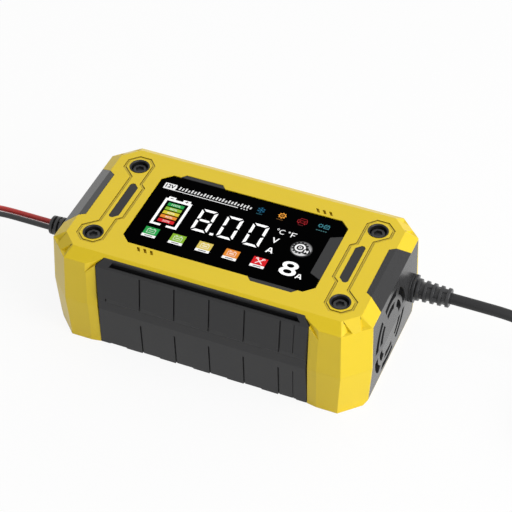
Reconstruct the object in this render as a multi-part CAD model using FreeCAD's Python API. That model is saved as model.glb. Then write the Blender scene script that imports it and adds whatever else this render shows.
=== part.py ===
import FreeCAD, Part
import math
import os

# Car battery charger: a two-part yellow housing with ribbed side grips, a flush display, a fan at the
# right end, a mains cord on the right and two battery leads with clamps on the left.
# Millimetres. Origin at the middle of the base, +X to the fan end, -Y to the front, +Z up.

V = FreeCAD.Vector
UP = V(0, 0, 1)
EAST = V(1, 0, 0)
NORTH = V(0, 1, 0)

# ---------------------------------------------------------------- housing, driving sizes
END_X = 96.9            # half length at the shoulder
SIDE_Y = 52.3           # half width at the shoulder
HEIGHT = 66.0
CORNER = 13.5           # 45 degree cut at each upright corner
BULGE = 1.1             # the walls swell outwards to the parting plane
DRAFT = 0.3             # and are a little smaller at the base than at the shoulder
PARTING_Z = 30.0
BEVEL_X = 7.4           # top bevel, plan size at the ends
BEVEL_Y = 7.0           # top bevel, plan size at the sides
BEVEL_Z = 4.7           # top bevel, height
TOP_CORNER = 8.9        # corner cut of the flat top
FOOT_X = 2.2            # bevel under each end
FOOT_Z = 3.2
WALL = 2.4
ROOF = 2.5
FLOOR = 2.5
NOTCH_TOP = 1.2         # pits in the corner bevels: where they begin along the top edge
NOTCH_START = 0.5       # their ends and their deepest point along the shoulder
NOTCH_END = 7.0
NOTCH_PIT = 6.2
NOTCH_DEPTH = 1.6

# ---------------------------------------------------------------- end panels
PANEL_BACK = 2.9        # panel thickness at the shoulder
PANEL_SIDE = 0.6        # yellow edge left beside the panel
PANEL_FOOT = 3.4
PANEL_LIP = 0.5         # yellow edge left under the shoulder
PANEL_SHOULDER_Y = 25.7
PANEL_TOP_Y = 21.3
PANEL_TONGUE_Y = 18.8
PANEL_TONGUE_X = 3.8    # how far the panel reaches over the flat top
PANEL_GAP = 0.15
LEDGE = 2.2             # rib inside the shells that backs each panel
LEDGE_REACH = 1.8

# ---------------------------------------------------------------- fan and its grille
FAN_SIZE = 50.0
FAN_DEPTH = 10.0
FAN_Y = -8.3
FAN_Z = 31.4
FAN_BORE_R = 23.6
BLADE_R = 22.6
HUB_R = 11.0
BLADES = 7
BLADE_HALF = 0.55       # half a blade's thickness, across
FAN_HOLE_PITCH = 40.0
FAN_HOLE_R = 2.15
SLOTS = 6
OUTER_SLOT = (20.8, 25.4, 46.0)     # inner radius, outer radius, degrees
INNER_SLOT = (13.7, 18.0, 41.0)
LOUVRES = 5
LOUVRE_HEIGHT = 3.0
LOUVRE_PITCH = 9.0
LOUVRE_HALF = 10.0
LOUVRE_Y = 23.0         # middle of each row of louvres

# ---------------------------------------------------------------- side grips
GRIP_HALF = 64.5
GRIP_SEAT_Y = 47.1      # the face of the housing that the grip lies on
GRIP_CUT = 5.1          # 45 degree cut of the grip's upper corners
GRIP_GAP = 0.2
REAR_DROP = 7.4         # how much lower the rear grip ends
MOUTH_WIDE = 5.8        # the housing slopes in towards the grip over this width
MOUTH_SINK = 1.0
CROWN = 1.2             # thickness of the grip's rim above the tiles
CROWN_DROP = 1.2        # how far the rim stays below the housing's top
CHANNEL = (-58.6, 62.4) # ends of the channel between the rim and the tiles
CHANNEL_LEAN = (3.0, 4.4)   # how far each end leans inward up to the rim's lip
CHANNEL_HIGH = 4.1      # the channel's height under the lip
UPPER_SHIFT = 0.6       # the upper tiles' seams from the lower ones'
TILE_PITCH = 21.2
TILE_FIRST = -58.6      # first seam, counted from the middle of the grip
TILE_LAST = 56.1        # a fine extra seam near the right end
TILE_END = 1.8          # slope at each end of the tiles
SEAM_WIDTH = 0.9
SEAM_DEPTH = 0.9
STEP_DROP = 1.8         # each upper tile's left half ends this much higher
STEP_FOOT = 0.8         # and so does each lower tile's

# ---------------------------------------------------------------- display
LENS_FROM_END = 38.3    # the lens's edges to the shoulder
LENS_FROM_SIDE = 20.7
LENS_X = END_X - LENS_FROM_END
LENS_Y = SIDE_Y - LENS_FROM_SIDE
LENS_CUT_X = 5.6
LENS_CUT_Y = 5.4
LENS_SINK = 0.35
LENS_GAP = 0.2
NOTCH_X = LENS_X - 7.2  # grey island at the lens's right edge
NOTCH_IN_Y = 15.8
NOTCH_OUT_Y = 19.25
TAB_DEPTH = 2.9
TOP_TAB = (10.1 - LENS_X, 38.6 - LENS_X)
BOTTOM_TAB = (LENS_X - 38.3, LENS_X - 8.6)
TAB_SLOPE = 2.6
FRAME_LIP = 2.4
LCD_X = LENS_X - 8.6
LCD_Y = LENS_Y - 5.6
LCD_THICK = 2.6
BOARD_THICK = 1.6

BUTTON_X = LENS_X - 18.6
BUTTON_Y = 0.3
BUTTON_R = 6.3
BUTTON_GAP = 0.35
BUTTON_FLANGE = 0.9
BUTTON_PROUD = 0.5
BUTTON_TRAVEL = 0.6

# ---------------------------------------------------------------- top trim and screws
SCREW_FROM_END = 21.9   # screw axis to the shoulder, along X
SCREW_FROM_SIDE = 21.1
SCREW_X = END_X - SCREW_FROM_END
SCREW_Y = SIDE_Y - SCREW_FROM_SIDE
CUP_R = 6.05
CUP_BORE_R = 4.95
CUP_DEPTH = 7.4
CUP_FLOOR = 1.6
BOSS_WALL = 1.5
SCREW_R = 1.5
SCREW_HOLE_R = 1.65
SCREW_HEAD_R = 4.35
SCREW_HEAD_H = 4.0
SCREW_SOCKET = 2.7
SCREW_LENGTH = HEIGHT - 24.0
GROOVE_OUT = 0.65       # the engraved channel's edges, from its line
GROOVE_IN = 0.95
GROOVE_DEPTH = 0.5
SLASH_DEPTH = 1.7
INLAY_SINK = 0.8
INLAY_GAP = 0.1

# ---------------------------------------------------------------- cords
CORD_D = 6.6
LEAD_D = 3.3
AC_Y = 29.0
AC_Z = 31.6
DC_Y = -2.0
DC_Z = 32.4
BOOT_FLANGE = 2.9
BOOT_HALF_Y = 6.9
BOOT_HALF_Z = 7.9
BOOT_CUT = 3.0
BOOT_LIP = 0.9          # thin plate at the foot of a flange, with a fine groove above it
BOOT_PLUG = 3.0         # the part of a boot inside the panel
AC_BOOT_LENGTH = 23.6
DC_BOOT_LENGTH = 21.0
AC_BOOT_RIBS = 5
DC_BOOT_RIBS = 6
RIB_START = 0.6         # the first rib's place on the neck
RIB_THICK = 2.3
RIB_BASE_R = 6.7
RIB_TIP_R = 5.8
WEB = 1.5               # half width of the webs that join the ribs
LEAD_OFFSET = 2.35      # each lead's place from the boot's axis, along Y
LEAD_SINK = 0.6         # and how far below the axis it is
FLOOR_Y = 30.0          # the mains cord's line on the floor

COIL_TURNS = 2.25       # turns in each of the two layers
WOUND_SIDES = 8         # sides of a coiled cord and of a spring's wire
AC_COIL = {"x": 232.0, "radius": 43.0, "pitch": 7.7, "rise": 7.2}
DC_COIL = {"x": -204.0, "radius": 20.0, "pitch": 3.9, "rise": 3.8}
DC_COIL_TANGENT_Y = 7.0
PLUG_BOOT_X = 252.0
PLUG_X = 262.0
PLUG_LENGTH = 31.0
PLUG_Z = CORD_D / 2 + AC_COIL["rise"]
PLUG_WIDTH = 26.0
BLADE_LENGTH = 16.5
BLADE_SPACING = 12.7
BLADE_WIDE = 6.3
BLADE_THICK = 1.5

# ---------------------------------------------------------------- battery clamps
CLAMP_X = -231.0        # handle ends
CLAMP_LENGTH = 68.0
CLAMP_THICK = 14.0
CLAMP_PIVOT = 37.0      # handle end to the pin
CLAMP_OFFSET = 15.0     # handle end to the clamp's centre line
CLAMP_PIN_R = 1.9
CLAMP_FIT = 0.05
EAR = 1.6
EAR_GAP = 0.3
EAR_R = 6.0
JAW_GAP = 0.3
SPRING_WIRE = 1.0
SPRING_TURNS = 3
SPRING_LEG = 12.0
SPRING_LEAN = 14.0      # degrees between a leg and the clamp's centre line

# ---------------------------------------------------------------- inside
BOARD_Z = 9.0
BOARD_CLEAR = 3.0
FOOT_R = 6.0
FOOT_SINK = 1.0


# ================================================================ helpers
def polygon(points):
    """A flat face from its corner points."""
    corners = [V(*p) for p in points]
    return Part.Face(Part.makePolygon(corners + corners[:1]))


def prism_z(outline, low, high):
    """An outline in X and Y, extruded from low to high."""
    return polygon([(x, y, low) for x, y in outline]).extrude(V(0, 0, high - low))


def prism_x(outline, low, high):
    """An outline in Y and Z, extruded along X."""
    return polygon([(low, y, z) for y, z in outline]).extrude(V(high - low, 0, 0))


def prism_y(outline, low, high):
    """An outline in X and Z, extruded along Y."""
    return polygon([(x, low, z) for x, z in outline]).extrude(V(0, high - low, 0))


def block(x0, x1, y0, y1, z0, z1):
    """A box from its two corners."""
    return Part.makeBox(x1 - x0, y1 - y0, z1 - z0, V(x0, y0, z0))


def rod(radius, start, direction, length):
    """A round bar."""
    return Part.makeCylinder(radius, length, V(*start), V(*direction))


def tower(sections):
    """A solid through matching polygons, each a list of points, from first to last."""
    rings = [[V(*p) for p in section] for section in sections]
    faces = [Part.Face(Part.makePolygon(ring + ring[:1])) for ring in (rings[0], rings[-1])]
    for lower, upper in zip(rings, rings[1:]):
        for i in range(len(lower)):
            j = (i + 1) % len(lower)
            faces.append(Part.Face(Part.makePolygon([lower[i], lower[j], upper[j], upper[i], lower[i]])))
    solid = Part.Solid(Part.Shell(faces))
    if solid.Volume < 0:
        solid.reverse()
    return solid


def mirror_x(shape):
    """The same shape on the other side of the YZ plane."""
    return shape.mirror(V(0, 0, 0), EAST)


def mirror_y(shape):
    """The same shape on the other side of the XZ plane."""
    return shape.mirror(V(0, 0, 0), V(0, 1, 0))


def fused(shapes):
    """All shapes as one, with flush faces joined."""
    first = shapes[0]
    return first.fuse(shapes[1:]).removeSplitter() if len(shapes) > 1 else first


def octagon(half_x, half_y, cut, z):
    """A rectangle with its four corners cut at 45 degrees."""
    a, b = half_x - cut, half_y - cut
    return [(a, -half_y, z), (half_x, -b, z), (half_x, b, z), (a, half_y, z),
            (-a, half_y, z), (-half_x, b, z), (-half_x, -b, z), (-a, -half_y, z)]


def revolved(profile, centre, axis):
    """A profile of (distance along the axis, radius) points turned about an axis parallel to X."""
    points = [(centre[0] + axis * along, centre[1] + radius, centre[2]) for along, radius in profile]
    return polygon(points).revolve(V(*centre), EAST, 360)


# ================================================================ housing
SHOULDER_Z = HEIGHT - BEVEL_Z
TOP_X = END_X - BEVEL_X
TOP_Y = SIDE_Y - BEVEL_Y
DIAGONAL = 2 - math.sqrt(2)     # how much less a 45 degree cut is on an inner wall, per wall


def housing_form():
    """The outer shape of both shells together."""
    wide_x, wide_y = END_X + BULGE, SIDE_Y + BULGE
    low_x, low_y = END_X - DRAFT, SIDE_Y - DRAFT
    form = tower([
        octagon(low_x - FOOT_X, low_y, CORNER - FOOT_X, 0),
        octagon(low_x, low_y, CORNER, FOOT_Z),
        octagon(wide_x, wide_y, CORNER, PARTING_Z),
        octagon(END_X, SIDE_Y, CORNER, SHOULDER_Z),
        octagon(TOP_X, TOP_Y, TOP_CORNER, HEIGHT),
    ])
    return form.cut(corner_notches())


def corner_notches():
    """Three-sided pits, two at each corner of the top bevel."""
    side, end = V(END_X - CORNER, -SIDE_Y, SHOULDER_Z), V(END_X, -(SIDE_Y - CORNER), SHOULDER_Z)
    peaks = V(TOP_X - TOP_CORNER, -TOP_Y, HEIGHT), V(TOP_X, -(TOP_Y - TOP_CORNER), HEIGHT)
    inward = V(-1, 1, -1).normalize() * NOTCH_DEPTH
    along = (end - side).normalize()
    cutters = []
    for peak, near, step in ((peaks[0], side, along), (peaks[1], end, -along)):
        first, last = near + step * NOTCH_START, near + step * NOTCH_END
        pit = peak + (near + step * NOTCH_PIT - peak) * 0.77 + inward
        corners = [pit + (p - pit) * 1.5 for p in (peak + step * NOTCH_TOP, first, last)]
        sides = [[pit, corners[i - 1], corners[i]] for i in range(3)]
        faces = [polygon(face) for face in [corners] + sides]
        wedge = Part.Solid(Part.Shell(faces))
        if wedge.Volume < 0:
            wedge.reverse()
        cutters += [wedge, mirror_x(wedge), mirror_y(wedge), mirror_x(mirror_y(wedge))]
    return cutters


def housing_cavity():
    """The room inside the walls, narrower behind the grips."""
    cut = CORNER - WALL * DIAGONAL
    room = tower([
        octagon(END_X - DRAFT - FOOT_X - WALL, SIDE_Y - DRAFT - WALL, cut - FOOT_X, FLOOR),
        octagon(END_X - DRAFT - WALL, SIDE_Y - DRAFT - WALL, cut, FOOT_Z + WALL),
        octagon(END_X + BULGE - WALL, SIDE_Y + BULGE - WALL, cut, PARTING_Z),
        octagon(END_X - WALL, SIDE_Y - WALL, cut, SHOULDER_Z - WALL / 2),
        octagon(TOP_X - WALL * 0.8, TOP_Y - WALL * 0.8, TOP_CORNER - WALL * 0.5, HEIGHT - ROOF),
    ])
    inner, side = GRIP_SEAT_Y - WALL, GRIP_HALF + WALL
    far = SIDE_Y + 10
    bay = block(-side, side, inner, far, 0, HEIGHT)
    return room.cut([bay, mirror_y(bay)])


def grip_outline(drop=0.0, gap=0.0):
    """The grip's front outline in X and Z, with its top lowered by drop and drawn in by a gap."""
    half = GRIP_HALF - gap
    top = HEIGHT - drop
    shoulder = top - GRIP_CUT - gap * math.tan(math.radians(22.5))
    inset = top - shoulder
    return [(-half, -1), (half, -1), (half, shoulder), (half - inset, top), (-half + inset, top),
            (-half, shoulder)]


def wall_y(z):
    """How far out the front and rear walls are at a height."""
    if z >= PARTING_Z:
        return SIDE_Y + BULGE * (SHOULDER_Z - z) / (SHOULDER_Z - PARTING_Z)
    return SIDE_Y - DRAFT + (BULGE + DRAFT) * max(z - FOOT_Z, 0) / (PARTING_Z - FOOT_Z)


def grip_mouth(drop):
    """Cutters at the bay's left edge: a steep facet at the upper corner and a slight slope below it."""
    edge, outer, far = -GRIP_HALF, -GRIP_HALF - MOUTH_WIDE, SIDE_Y + 3
    inner = edge + GRIP_CUT
    corner = HEIGHT - drop - GRIP_CUT
    steepness = (SIDE_Y - GRIP_SEAT_Y) / (MOUTH_WIDE + GRIP_CUT)
    start = outer - (far - SIDE_Y) / steepness
    facet = prism_z([(start, -far), (outer, -SIDE_Y), (inner, -GRIP_SEAT_Y), (inner, -far)], 0, HEIGHT)
    upper = prism_y([(start, corner + start - edge), (inner, HEIGHT - drop), (start, HEIGHT - drop)], -far, 0)

    beyond = 4.0
    sections = []
    for z in (-1, FOOT_Z, PARTING_Z, SHOULDER_Z):
        wall = wall_y(z)
        rise = MOUTH_SINK * beyond / MOUTH_WIDE
        sections.append([(edge, -wall + MOUTH_SINK, z), (outer - beyond, -wall - rise, z),
                         (outer - beyond, -far, z), (edge, -far, z)])
    low_corner = corner - MOUTH_WIDE - beyond
    lower = prism_y([(outer - beyond, -1), (edge, -1), (edge, corner), (outer - beyond, low_corner)], -far, 0)
    return [facet.common(upper), tower(sections).common(lower)]


def grip_bay(drop=0.0):
    """The cutter for the bay that holds the front grip, with the slopes that lead into it."""
    seat = prism_y(grip_outline(drop), -SIDE_Y - 6, -GRIP_SEAT_Y)
    slopes = grip_mouth(drop)
    return fused([seat] + slopes + [mirror_x(slope) for slope in slopes])


def panel_outline(gap):
    """The end panel's outline on the end face, in Y and Z."""
    side = SIDE_Y - CORNER - PANEL_SIDE - gap
    return [(-side, PANEL_FOOT + gap), (side, PANEL_FOOT + gap), (side, SHOULDER_Z - PANEL_LIP - gap),
            (-side, SHOULDER_Z - PANEL_LIP - gap)]


def panel_crown(gap):
    """The part of the end panel that climbs the bevel and turns over the top, in X and Y."""
    return [(TOP_X - PANEL_TONGUE_X + gap, -PANEL_TONGUE_Y + gap), (TOP_X, -PANEL_TOP_Y + gap),
            (END_X, -PANEL_SHOULDER_Y + gap), (END_X + 5, -PANEL_SHOULDER_Y + gap),
            (END_X + 5, PANEL_SHOULDER_Y - gap), (END_X, PANEL_SHOULDER_Y - gap),
            (TOP_X, PANEL_TOP_Y - gap), (TOP_X - PANEL_TONGUE_X + gap, PANEL_TONGUE_Y - gap)]


def panel_room(gap=0.0):
    """The space of the right end panel, before it is trimmed to the housing's outer shape."""
    back = END_X - PANEL_BACK
    face = prism_x(panel_outline(gap), back, END_X + 5)
    crown = prism_z(panel_crown(gap), SHOULDER_Z - PANEL_LIP - gap - 0.5, HEIGHT + 1)
    return face, crown


def end_panel(form, cavity):
    """A plain end panel: a plate on the end face joined to a strip over the bevel."""
    face, crown = panel_room(PANEL_GAP)
    return fused([face.common(form), crown.common(form).cut(cavity)])


def panel_ledge(cavity):
    """The rib inside the housing that an end panel rests on."""
    back = END_X - PANEL_BACK
    side = SIDE_Y - CORNER - PANEL_SIDE - LEDGE_REACH
    slab = block(back - LEDGE, back, -SIDE_Y, SIDE_Y, FLOOR - 0.5, SHOULDER_Z - 1.5).common(cavity)
    window = block(back - LEDGE - 1, back + 1, -side, side, PANEL_FOOT + LEDGE_REACH + 0.6, SHOULDER_Z + 2)
    return slab.cut(window)


SCREW_PLACES = [(sx * SCREW_X, sy * SCREW_Y) for sx in (-1, 1) for sy in (-1, 1)]
CUP_Z = HEIGHT - CUP_DEPTH


def lens_outline(gap=0.0):
    """The display lens, an octagon with a step in its right edge."""
    x, y = LENS_X - gap, LENS_Y - gap
    return [(-x + LENS_CUT_X, -y), (x - LENS_CUT_X, -y), (x, -y + LENS_CUT_Y), (x, -NOTCH_OUT_Y - gap),
            (NOTCH_X - gap, -NOTCH_IN_Y - gap), (NOTCH_X - gap, NOTCH_IN_Y + gap), (x, NOTCH_OUT_Y + gap),
            (x, y - LENS_CUT_Y), (x - LENS_CUT_X, y), (-x + LENS_CUT_X, y), (-x, y - LENS_CUT_Y),
            (-x, -y + LENS_CUT_Y)]


def notch_outline():
    """The grey island that fills the step in the lens."""
    return [(LENS_X, -NOTCH_OUT_Y), (LENS_X, NOTCH_OUT_Y), (NOTCH_X, NOTCH_IN_Y), (NOTCH_X, -NOTCH_IN_Y)]


def tab_outline(ends, side):
    """A grey tab beside the lens; side is +1 at the back and -1 at the front."""
    near, far = side * LENS_Y, side * (LENS_Y + TAB_DEPTH)
    return [(ends[0], near), (ends[1], near), (ends[1] - TAB_SLOPE, far), (ends[0] + TAB_SLOPE, far)]


def display_opening():
    """The hole in the roof for the lens and the grey parts round it."""
    low, high = HEIGHT - ROOF - 1, HEIGHT + 1
    plain = [(x if abs(x) != NOTCH_X else LENS_X, y) for x, y in lens_outline()]
    outlines = [plain, tab_outline(TOP_TAB, 1), tab_outline(BOTTOM_TAB, -1)]
    return fused([prism_z(outline, low, high) for outline in outlines])


def both_sides(corners):
    """Corners laid out from the right-hand back screw's axis, then the same ones in front, mirrored."""
    back = [(SCREW_X + x, SCREW_Y + y) for x, y in corners]
    return back + [(x, -y) for x, y in reversed(back)]


def inlay_outline(gap=0.0):
    """The dark inlay between the two right-hand screws."""
    return both_sides([(gap - 7.3, -18.2), (-4.4, -15.3 - gap), (-2.8, -15.3 - gap), (-1.7 - gap, -16.8)])


def groove_line():
    """The engraved line round the right-hand screws and inlay."""
    return both_sides([(-10.7, -17.2), (-7.7, -14.5), (-7.7, 3.6), (-3.5, 8.2), (3.5, 8.2), (8.5, 3.3),
                       (8.5, -3.2), (1.0, -10.2)])


def engraving():
    """A shallow channel along the groove line, as its outside less its inside."""
    wire = Part.makePolygon([V(x, y, HEIGHT - GROOVE_DEPTH) for x, y in groove_line() + groove_line()[:1]])
    outside = Part.Face(wire.makeOffset2D(GROOVE_OUT, 2))
    inside = Part.Face(wire.makeOffset2D(-GROOVE_IN, 2))
    return outside.cut(inside).extrude(V(0, 0, 2))


def slashes():
    """Three slanted strokes cut into the top at two places."""
    cutters = []
    for start, side in ((LENS_X - 23.4, 1), (12.0 - LENS_X, -1)):
        for i in range(3):
            x = start + 4.0 * i
            near, far = sorted((side * (LENS_Y + 1.6), side * (LENS_Y + 4.6)))
            outline = [(x, far), (x + 1.6, far), (x + 3.4, near), (x + 1.8, near)]
            cutters.append(prism_z(outline, HEIGHT - SLASH_DEPTH, HEIGHT + 1))
    return cutters


def build_shells():
    """Both halves of the housing, parted at PARTING_Z."""
    form, cavity = housing_form(), housing_cavity()
    bays = [grip_bay(), mirror_y(grip_bay(REAR_DROP))]
    face, crown = panel_room()
    rooms = [face, crown, mirror_x(face), mirror_x(crown)]
    ledge = panel_ledge(cavity)
    walls = form.cut([cavity] + bays + rooms)
    split = PARTING_Z
    everywhere = END_X + 20
    above = block(-everywhere, everywhere, -everywhere, everywhere, split, HEIGHT + 5)

    bosses, holes = [], []
    for x, y in SCREW_PLACES:
        bosses.append(rod(CUP_R + BOSS_WALL, (x, y, CUP_Z - 3), (0, 0, 1), CUP_DEPTH + 3 - ROOF / 2))
        bosses.append(rod(SCREW_HOLE_R + 3, (x, y, split), (0, 0, 1), CUP_Z - split))
        holes.append(rod(CUP_R, (x, y, CUP_Z), (0, 0, 1), CUP_DEPTH + 1))
        holes.append(rod(SCREW_HOLE_R, (x, y, split - 1), (0, 0, 1), HEIGHT))
    ledges = fused([ledge, mirror_x(ledge)])
    upper = walls.common(above).fuse(bosses + [ledges.common(above)])
    inlay = prism_z(inlay_outline(), HEIGHT - INLAY_SINK, HEIGHT + 1)
    groove = engraving()
    upper = upper.cut(holes + [display_opening(), inlay, mirror_x(inlay), groove, mirror_x(groove)])
    upper = upper.cut(slashes())

    posts, pilots = [], []
    for x, y in SCREW_PLACES:
        posts.append(rod(SCREW_HOLE_R + 3, (x, y, FLOOR - 0.5), (0, 0, 1), split - FLOOR + 0.5))
        pilots.append(rod(SCREW_R + 0.05, (x, y, split - 17), (0, 0, 1), 18))
    for x, y in board_screw_places():
        posts.append(rod(3.5, (x, y, FLOOR - 0.5), (0, 0, 1), BOARD_Z - FLOOR + 0.5))
        pilots.append(rod(1.25, (x, y, FLOOR + 1), (0, 0, 1), BOARD_Z))
    for x, y in foot_places():
        pilots.append(rod(FOOT_R, (x, y, -1), (0, 0, 1), 1 + FOOT_SINK))
    lower = walls.cut(above).fuse(posts + [ledges.cut(above)]).cut(pilots)
    return {"upper_shell": upper.removeSplitter(), "lower_shell": lower.removeSplitter()}


def foot_places():
    """Rubber feet under the four corners."""
    x, y = END_X - 21, SIDE_Y - 16
    return [(sx * x, sy * y) for sx in (-1, 1) for sy in (-1, 1)]


def board_screw_places():
    """Main board screws, inside the housing's own screw posts."""
    x, y = END_X - 38, GRIP_SEAT_Y - WALL - BOARD_CLEAR - 4
    return [(sx * x, sy * y) for sx in (-1, 1) for sy in (-1, 1)]


def build_top_trim():
    """Inlays, screw cups and the four cover screws."""
    inlay = prism_z(inlay_outline(INLAY_GAP), HEIGHT - INLAY_SINK, HEIGHT - 0.15)
    cups, screws = [], []
    seat = CUP_Z + CUP_FLOOR
    head_top = seat + SCREW_HEAD_H
    for x, y in SCREW_PLACES:
        cup = rod(CUP_R - 0.1, (x, y, CUP_Z), UP, CUP_DEPTH + 0.3)
        rim = Part.makeCone(CUP_BORE_R, CUP_BORE_R + 0.5, 0.5, V(x, y, HEIGHT - 0.2), UP)
        bore = rod(CUP_BORE_R, (x, y, seat), UP, CUP_DEPTH)
        cups.append(cup.cut([bore, rim, rod(SCREW_HOLE_R, (x, y, CUP_Z - 1), UP, CUP_DEPTH)]))
        edge = Part.makeCone(SCREW_HEAD_R, SCREW_HEAD_R - 0.5, 0.5, V(x, y, head_top - 0.5), UP)
        head = rod(SCREW_HEAD_R, (x, y, seat), UP, SCREW_HEAD_H - 0.5).fuse(edge)
        hexagon = [(x + SCREW_SOCKET * math.cos(math.radians(60 * i)),
                    y + SCREW_SOCKET * math.sin(math.radians(60 * i))) for i in range(6)]
        shank = rod(SCREW_R, (x, y, seat - SCREW_LENGTH), UP, SCREW_LENGTH + 1)
        screws.append(head.fuse(shank).cut(prism_z(hexagon, head_top - 1.6, head_top + 1)))
    return {"inlay_right": inlay, "inlay_left": mirror_x(inlay), "screw_cups": Part.makeCompound(cups),
            "cover_screws": Part.makeCompound(screws)}


# ================================================================ grips
def tile_profile(shoulder, top):
    """Section through the tiles in Y and Z: lower tiles, band, upper tiles and the slope up to the rim."""
    seat = GRIP_SEAT_Y
    return [(-seat, 0.2), (-seat - 4.0, 0.2), (-seat - 5.7, PARTING_Z - 1), (-seat - 5.3, PARTING_Z + 5.6),
            (-seat - 6.5, PARTING_Z + 7.2), (-seat - 4.4, shoulder - 0.8), (-seat - CROWN, top), (-seat, top)]


def channel_room(shoulder):
    """The cutter for the channel between the rim and the tiles: undercut, open in front, its ends leaning."""
    seat, low, lip = GRIP_SEAT_Y, shoulder - 2.8, shoulder - 2.8 + CHANNEL_HIGH
    back, front = -seat - CROWN / 3, -seat - 3.1
    section = prism_x([(back, low), (front, low), (front, shoulder + 0.3), (front - 5, shoulder + 0.5),
                       (front - 5, lip + 5), (-seat - CROWN, lip + 5), (-seat - CROWN, lip), (back, lip)],
                      -GRIP_HALF, GRIP_HALF)
    left, right = CHANNEL
    lean = [2.2 * part for part in CHANNEL_LEAN]
    ends = prism_y([(left, low), (right, low), (right - lean[1], low + 2.2 * CHANNEL_HIGH),
                    (left + lean[0], low + 2.2 * CHANNEL_HIGH)], -seat - 9, 0)
    return section.common(ends)


def grip_seams():
    """Where the seams between tiles are, along X."""
    count = int((GRIP_HALF - 4 - TILE_FIRST) / TILE_PITCH) + 1
    return [TILE_FIRST + TILE_PITCH * i for i in range(count)]


def upper_seam(x, width, depth, shoulder):
    """The cutter for one upright seam across the upper tiles."""
    seat, deep, step = GRIP_SEAT_Y, GRIP_SEAT_Y + 10, PARTING_Z + 7.2
    outline = [(-deep, step - 3), (-deep, shoulder - 1.2), (-seat - 4.4 + depth, shoulder - 1.2),
               (-seat - 6.3 + depth, step - 1), (-seat - 5.6, step - 3)]
    return prism_x(outline, x - width / 2, x + width / 2)


def lower_seam(x, width, depth):
    """The cutter for one upright seam across the lower tiles."""
    seat, deep, high = GRIP_SEAT_Y, GRIP_SEAT_Y + 10, PARTING_Z - 6
    outline = [(-deep, -1), (-deep, high), (-seat - 5.3 + depth, high), (-seat - 4.0 + depth, -1)]
    return prism_x(outline, x - width / 2, x + width / 2)


def build_grip(drop=0.0):
    """A front grip: a rim plate, and tiles with seams, stepped edges, sloping ends and a channel on top."""
    half, seat, deep = GRIP_HALF - GRIP_GAP, GRIP_SEAT_Y, GRIP_SEAT_Y + 10
    shoulder, top = SHOULDER_Z - drop, HEIGHT - drop - CROWN_DROP
    step = PARTING_Z + 7.2
    tiles = prism_x(tile_profile(shoulder, top), -half, half)
    ends = prism_z([(-half, -seat), (-half, -seat - 4.1), (-half + TILE_END, -deep + 2.6),
                    (half - TILE_END, -deep + 2.6), (half, -seat - 4.1), (half, -seat)], 0, HEIGHT)
    body = tiles.common(ends).common(prism_y(grip_outline(drop, GRIP_GAP), -deep, 0))

    cutters = [channel_room(shoulder)]
    for x in grip_seams():
        if x > -half + 6:
            cutters.append(lower_seam(x, SEAM_WIDTH, SEAM_DEPTH))
            cutters.append(upper_seam(x + UPPER_SHIFT, SEAM_WIDTH, SEAM_DEPTH, shoulder))
        left, middle = max(x, -half - 1), x + TILE_PITCH / 2
        cutters.append(block(left, middle, -deep, -seat - 1.5, -1, STEP_FOOT))
        cutters.append(block(left, middle + UPPER_SHIFT, -deep, -seat - 5.3, step - 2.2, step + STEP_DROP))
    cutters.append(lower_seam(TILE_LAST, SEAM_WIDTH / 2, SEAM_DEPTH / 2))
    cutters.append(upper_seam(TILE_LAST, SEAM_WIDTH / 2, SEAM_DEPTH / 2, shoulder))
    return body.cut(cutters)


# ================================================================ end panels and fan
def ring_slot(inner, outer, middle, span, x0, x1):
    """One curved slot of the grille, round the fan's axis."""
    a0, a1 = math.radians(middle - span / 2), math.radians(middle + span / 2)

    def at(radius, angle):
        return V(x0, FAN_Y + radius * math.cos(angle), FAN_Z + radius * math.sin(angle))

    mid = math.radians(middle)
    wide = [at(outer, a0), at(outer, mid), at(outer, a1)]
    tight = [at(inner, a1), at(inner, mid), at(inner, a0)]
    edges = [Part.Arc(*wide).toShape(), Part.LineSegment(wide[2], tight[0]).toShape(),
             Part.Arc(*tight).toShape(), Part.LineSegment(tight[2], wide[0]).toShape()]
    return Part.Face(Part.Wire(edges)).extrude(V(x1 - x0, 0, 0))


def build_end_panels():
    """The fan panel with its two rings of slots, and the output panel with louvres."""
    form, cavity = housing_form(), housing_cavity()
    panel = end_panel(form, cavity)
    x0, x1 = END_X - PANEL_BACK - 1, END_X + 5
    slots = [ring_slot(inner, outer, 30 + 60 * i, span, x0, x1)
             for inner, outer, span in (OUTER_SLOT, INNER_SLOT) for i in range(SLOTS)]
    fan_holes = [rod(1.3, (x0, y, z), (1, 0, 0), 3.2) for y, z in fan_screw_places()]
    socket = prism_x(boot_flange(AC_Y, AC_Z, -2.6), x0, x1)
    fan_panel = panel.cut(slots + fan_holes + [socket])
    plain = mirror_x(panel)
    louvres = []
    for side in (-1, 1):
        for i in range(LOUVRES):
            z = FAN_Z + (i - (LOUVRES - 1) / 2) * LOUVRE_PITCH
            y = side * LOUVRE_Y
            low, high = z - LOUVRE_HEIGHT / 2, z + LOUVRE_HEIGHT / 2
            louvres.append(block(-x1, -x0, y - LOUVRE_HALF, y + LOUVRE_HALF, low, high))
    dc_socket = mirror_x(prism_x(boot_flange(DC_Y, DC_Z, -2.6), x0, x1))
    return {"fan_panel": fan_panel, "output_panel": plain.cut(louvres + [dc_socket])}


def fan_screw_places():
    """The fan's four screws, in Y and Z."""
    half = FAN_HOLE_PITCH / 2
    return [(FAN_Y + sy * half, FAN_Z + sz * half) for sy in (-1, 1) for sz in (-1, 1)]


FAN_BACK = END_X - PANEL_BACK
FAN_FRONT = FAN_BACK - FAN_DEPTH


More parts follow.
